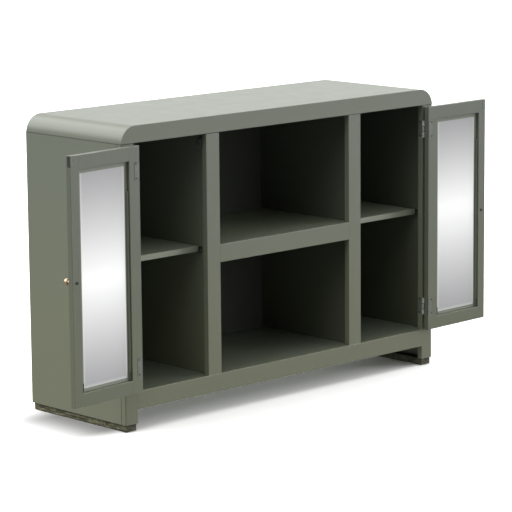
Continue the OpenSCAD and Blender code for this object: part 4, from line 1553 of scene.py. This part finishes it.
    def build(self) -> None:
        """Gives the door frame its finish and builds its fittings."""
        for part in ("hinge_stile", "free_stile", "top_rail", "bottom_rail"):
            dress(self.frame, self.node(part), SHADED_DOOR_ENAMEL, self.ease_mm)
        self.build_pane()
        dress(self.frame, self.node("bead_clips"), CLIP_STEEL, self.fitting_ease_mm)
        dress(self.frame, self.node("hinge_leaves"), DOOR_HINGE_STEEL, self.fitting_ease_mm)
        self.build_beads()
        self.build_knob()
        self.build_strike()
        for part in ("leaf_screws", "strike_screw"):
            ScrewSet(self.frame, self.node(part), self.body).build()
        ScrewSet(
            self.frame,
            self.node("knob_screw"),
            self.body,
            head_mm=8.0,
            neck_mm=8.0,
            head_height_mm=2.2,
            crown_mm=0.7,
            shank_mm=4.0,
            recess_length_mm=4.4,
            recess_width_mm=1.1,
            recess_depth_mm=1.2,
        ).build()


@dataclass(frozen=True)
class SoftBox:
    """A soft patch of studio light far from the object."""

    turn_deg: float
    half_width_deg: float
    low_deg: float
    high_deg: float
    strength: float
    fade_deg: float = 4.0

    def glow(
        self, tree: bpy.types.NodeTree, level_way: bpy.types.Node, height: bpy.types.NodeSocket
    ) -> bpy.types.Node:
        """Light of the patch for every direction.

        Args:
            tree: World node tree.
            level_way: Node that gives the direction as seen from above, of length 1.
            height: Z of the direction.

        Returns:
            A node that gives the strength, which is 0 outside the patch.
        """
        turn, half, fade, low, high = (
            math.radians(a)
            for a in (
                self.turn_deg, self.half_width_deg, self.fade_deg, self.low_deg, self.high_deg
            )
        )
        aim = (math.sin(turn), -math.cos(turn), 0.0)
        nearness = add_node(tree, VECTOR_MATH, DOT, {0: level_way, 1: aim}).outputs["Value"]
        patch = self.strength
        for value, dark_at, full_at in (
            (nearness, math.cos(half + fade), math.cos(half)),
            (height, math.sin(low - fade / 2), math.sin(low + fade / 2)),
            (height, math.sin(high + fade / 2), math.sin(high - fade / 2)),
        ):
            limits = {"From Min": dark_at, "From Max": full_at}
            share = add_node(tree, RANGE, SMOOTH, {"Value": value, **limits})
            patch = add_node(tree, MATH, TIMES, {0: patch, 1: share})
        return patch


@dataclass
class Studio:
    """Pale floor, soft light and the camera."""

    floor_m: float = 60.0
    ceiling_glow: float = 1.5
    ceiling_from_deg: float = 70.0
    mirrored_limit: float = 4.0
    floor_glow: float = 0.3
    fade_z: float = 0.02
    right_strip: SoftBox = SoftBox(75.0, 30.0, 0.0, 20.0, 10.0)
    back_right: SoftBox = SoftBox(135.0, 30.0, 0.0, 45.0, 1.3)
    front_fill: SoftBox = SoftBox(15.0, 30.0, 0.0, 45.0, 0.85)
    back_left: SoftBox = SoftBox(225.0, 60.0, 18.0, 64.0, 3.6)
    left_front_high: SoftBox = SoftBox(-45.0, 30.0, 45.0, 70.0, 2.0)
    left_low: SoftBox = SoftBox(-85.0, 25.0, 0.0, 40.0, 0.6)
    azimuth_deg: float = -43.585
    elevation_deg: float = 10.178
    roll_deg: float = -0.51
    distance: float = 7.12
    aim: tuple[float, float, float] = (-0.2016, -0.2628, 0.44)
    lens_mm: float = 184.64
    sensor_mm: float = 36.0
    clip_m: float = 200.0

    def build_floor(self) -> None:
        """A large pale floor that isn't part of the object."""
        mesh = bpy.data.meshes.new("studio_floor")
        half = self.floor_m / 2
        corners = [(-half, -half, 0), (half, -half, 0), (half, half, 0), (-half, half, 0)]
        mesh.from_pydata(corners, [], [(0, 1, 2, 3)])
        mesh.materials.append(FLOOR.material())
        floor = bpy.data.objects.new("studio_floor", mesh)
        floor.visible_diffuse = False
        floor.visible_glossy = False
        bpy.context.scene.collection.objects.link(floor)

    def build_light(self) -> None:
        """Soft boxes and a ceiling glow; a plain pale backdrop is what shows."""
        world = bpy.data.worlds.new("studio_light")
        world.use_nodes = True
        tree = world.node_tree
        tree.nodes.clear()
        way = add_node(tree, "ShaderNodeTexCoord").outputs["Generated"]
        height = add_node(tree, SPLIT, None, {0: way}).outputs["Z"]
        flat = add_node(tree, VECTOR_MATH, TIMES, {0: way, 1: (1, 1, 0)})
        level_way = add_node(tree, VECTOR_MATH, {"operation": "NORMALIZE"}, {0: flat})
        boxes = (
            self.right_strip,
            self.back_right,
            self.front_fill,
            self.back_left,
            self.left_front_high,
            self.left_low,
        )
        patches = [box.glow(tree, level_way, height) for box in boxes]
        ceiling_z = math.sin(math.radians(self.ceiling_from_deg))
        fade = self.fade_z
        for dark_z, full_z, strength in (
            (ceiling_z - fade, ceiling_z + fade, self.ceiling_glow), (0.0, -fade, self.floor_glow)
        ):
            limits = {"From Min": dark_z, "From Max": full_z, "To Max": strength}
            patches.append(add_node(tree, RANGE, SMOOTH, {"Value": height, **limits}))
        total = patches[0]
        for patch in patches[1:]:
            total = add_node(tree, MATH, PLUS, {0: total, 1: patch})
        # A cap keeps the boxes from burning out where a glossy face mirrors them.
        path = add_node(tree, "ShaderNodeLightPath")
        capped = add_node(tree, MATH, SMALLER, {0: total, 1: self.mirrored_limit})
        either = {"Value": path.outputs["Is Glossy Ray"], "To Min": total, "To Max": capped}
        strength = add_node(tree, RANGE, None, either)
        lights = add_node(tree, "ShaderNodeBackground", None, {"Strength": strength})
        backdrop = add_node(tree, "ShaderNodeBackground")
        for glow in (lights, backdrop):
            glow.inputs["Color"].default_value = (1.0, 1.0, 1.0, 1.0)
        seen = {0: path.outputs["Is Camera Ray"], 1: lights, 2: backdrop}
        shown = add_node(tree, "ShaderNodeMixShader", None, seen)
        add_node(tree, "ShaderNodeOutputWorld", None, {"Surface": shown})
        bpy.context.scene.world = world

    def build_camera(self) -> None:
        """The camera, a long lens a little above the top of the cabinet."""
        lens = bpy.data.cameras.new("camera")
        lens.lens = self.lens_mm
        lens.sensor_width = self.sensor_mm
        lens.clip_end = self.clip_m
        camera = bpy.data.objects.new("camera", lens)
        turn, rise = math.radians(self.azimuth_deg), math.radians(self.elevation_deg)
        back = Vector(
            (math.sin(turn) * math.cos(rise), -math.cos(turn) * math.cos(rise), math.sin(rise))
        )
        camera.location = Vector(self.aim) + back * self.distance
        camera.rotation_mode = "QUATERNION"
        level = (-back).to_track_quat("-Z", "Y")
        roll = Matrix.Rotation(math.radians(self.roll_deg), 4, "Z").to_quaternion()
        camera.rotation_quaternion = level @ roll
        bpy.context.scene.collection.objects.link(camera)
        bpy.context.scene.camera = camera

    def build(self) -> None:
        """Builds the floor, the light and the camera."""
        self.build_floor()
        self.build_light()
        self.build_camera()
        bpy.context.scene.view_settings.view_transform = "Standard"


def main() -> None:
    """Loads the frame, dresses it and builds the studio round it."""
    logging.basicConfig(level=logging.INFO)
    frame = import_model()
    Studio().build()
    Carcass(frame).build()
    for side in Side:
        FootSkid(frame, side).build()
    CabinetFittings(frame).build()
    for side in Side:
        Door(frame, side).build()


if __name__ == "__main__":
    main()
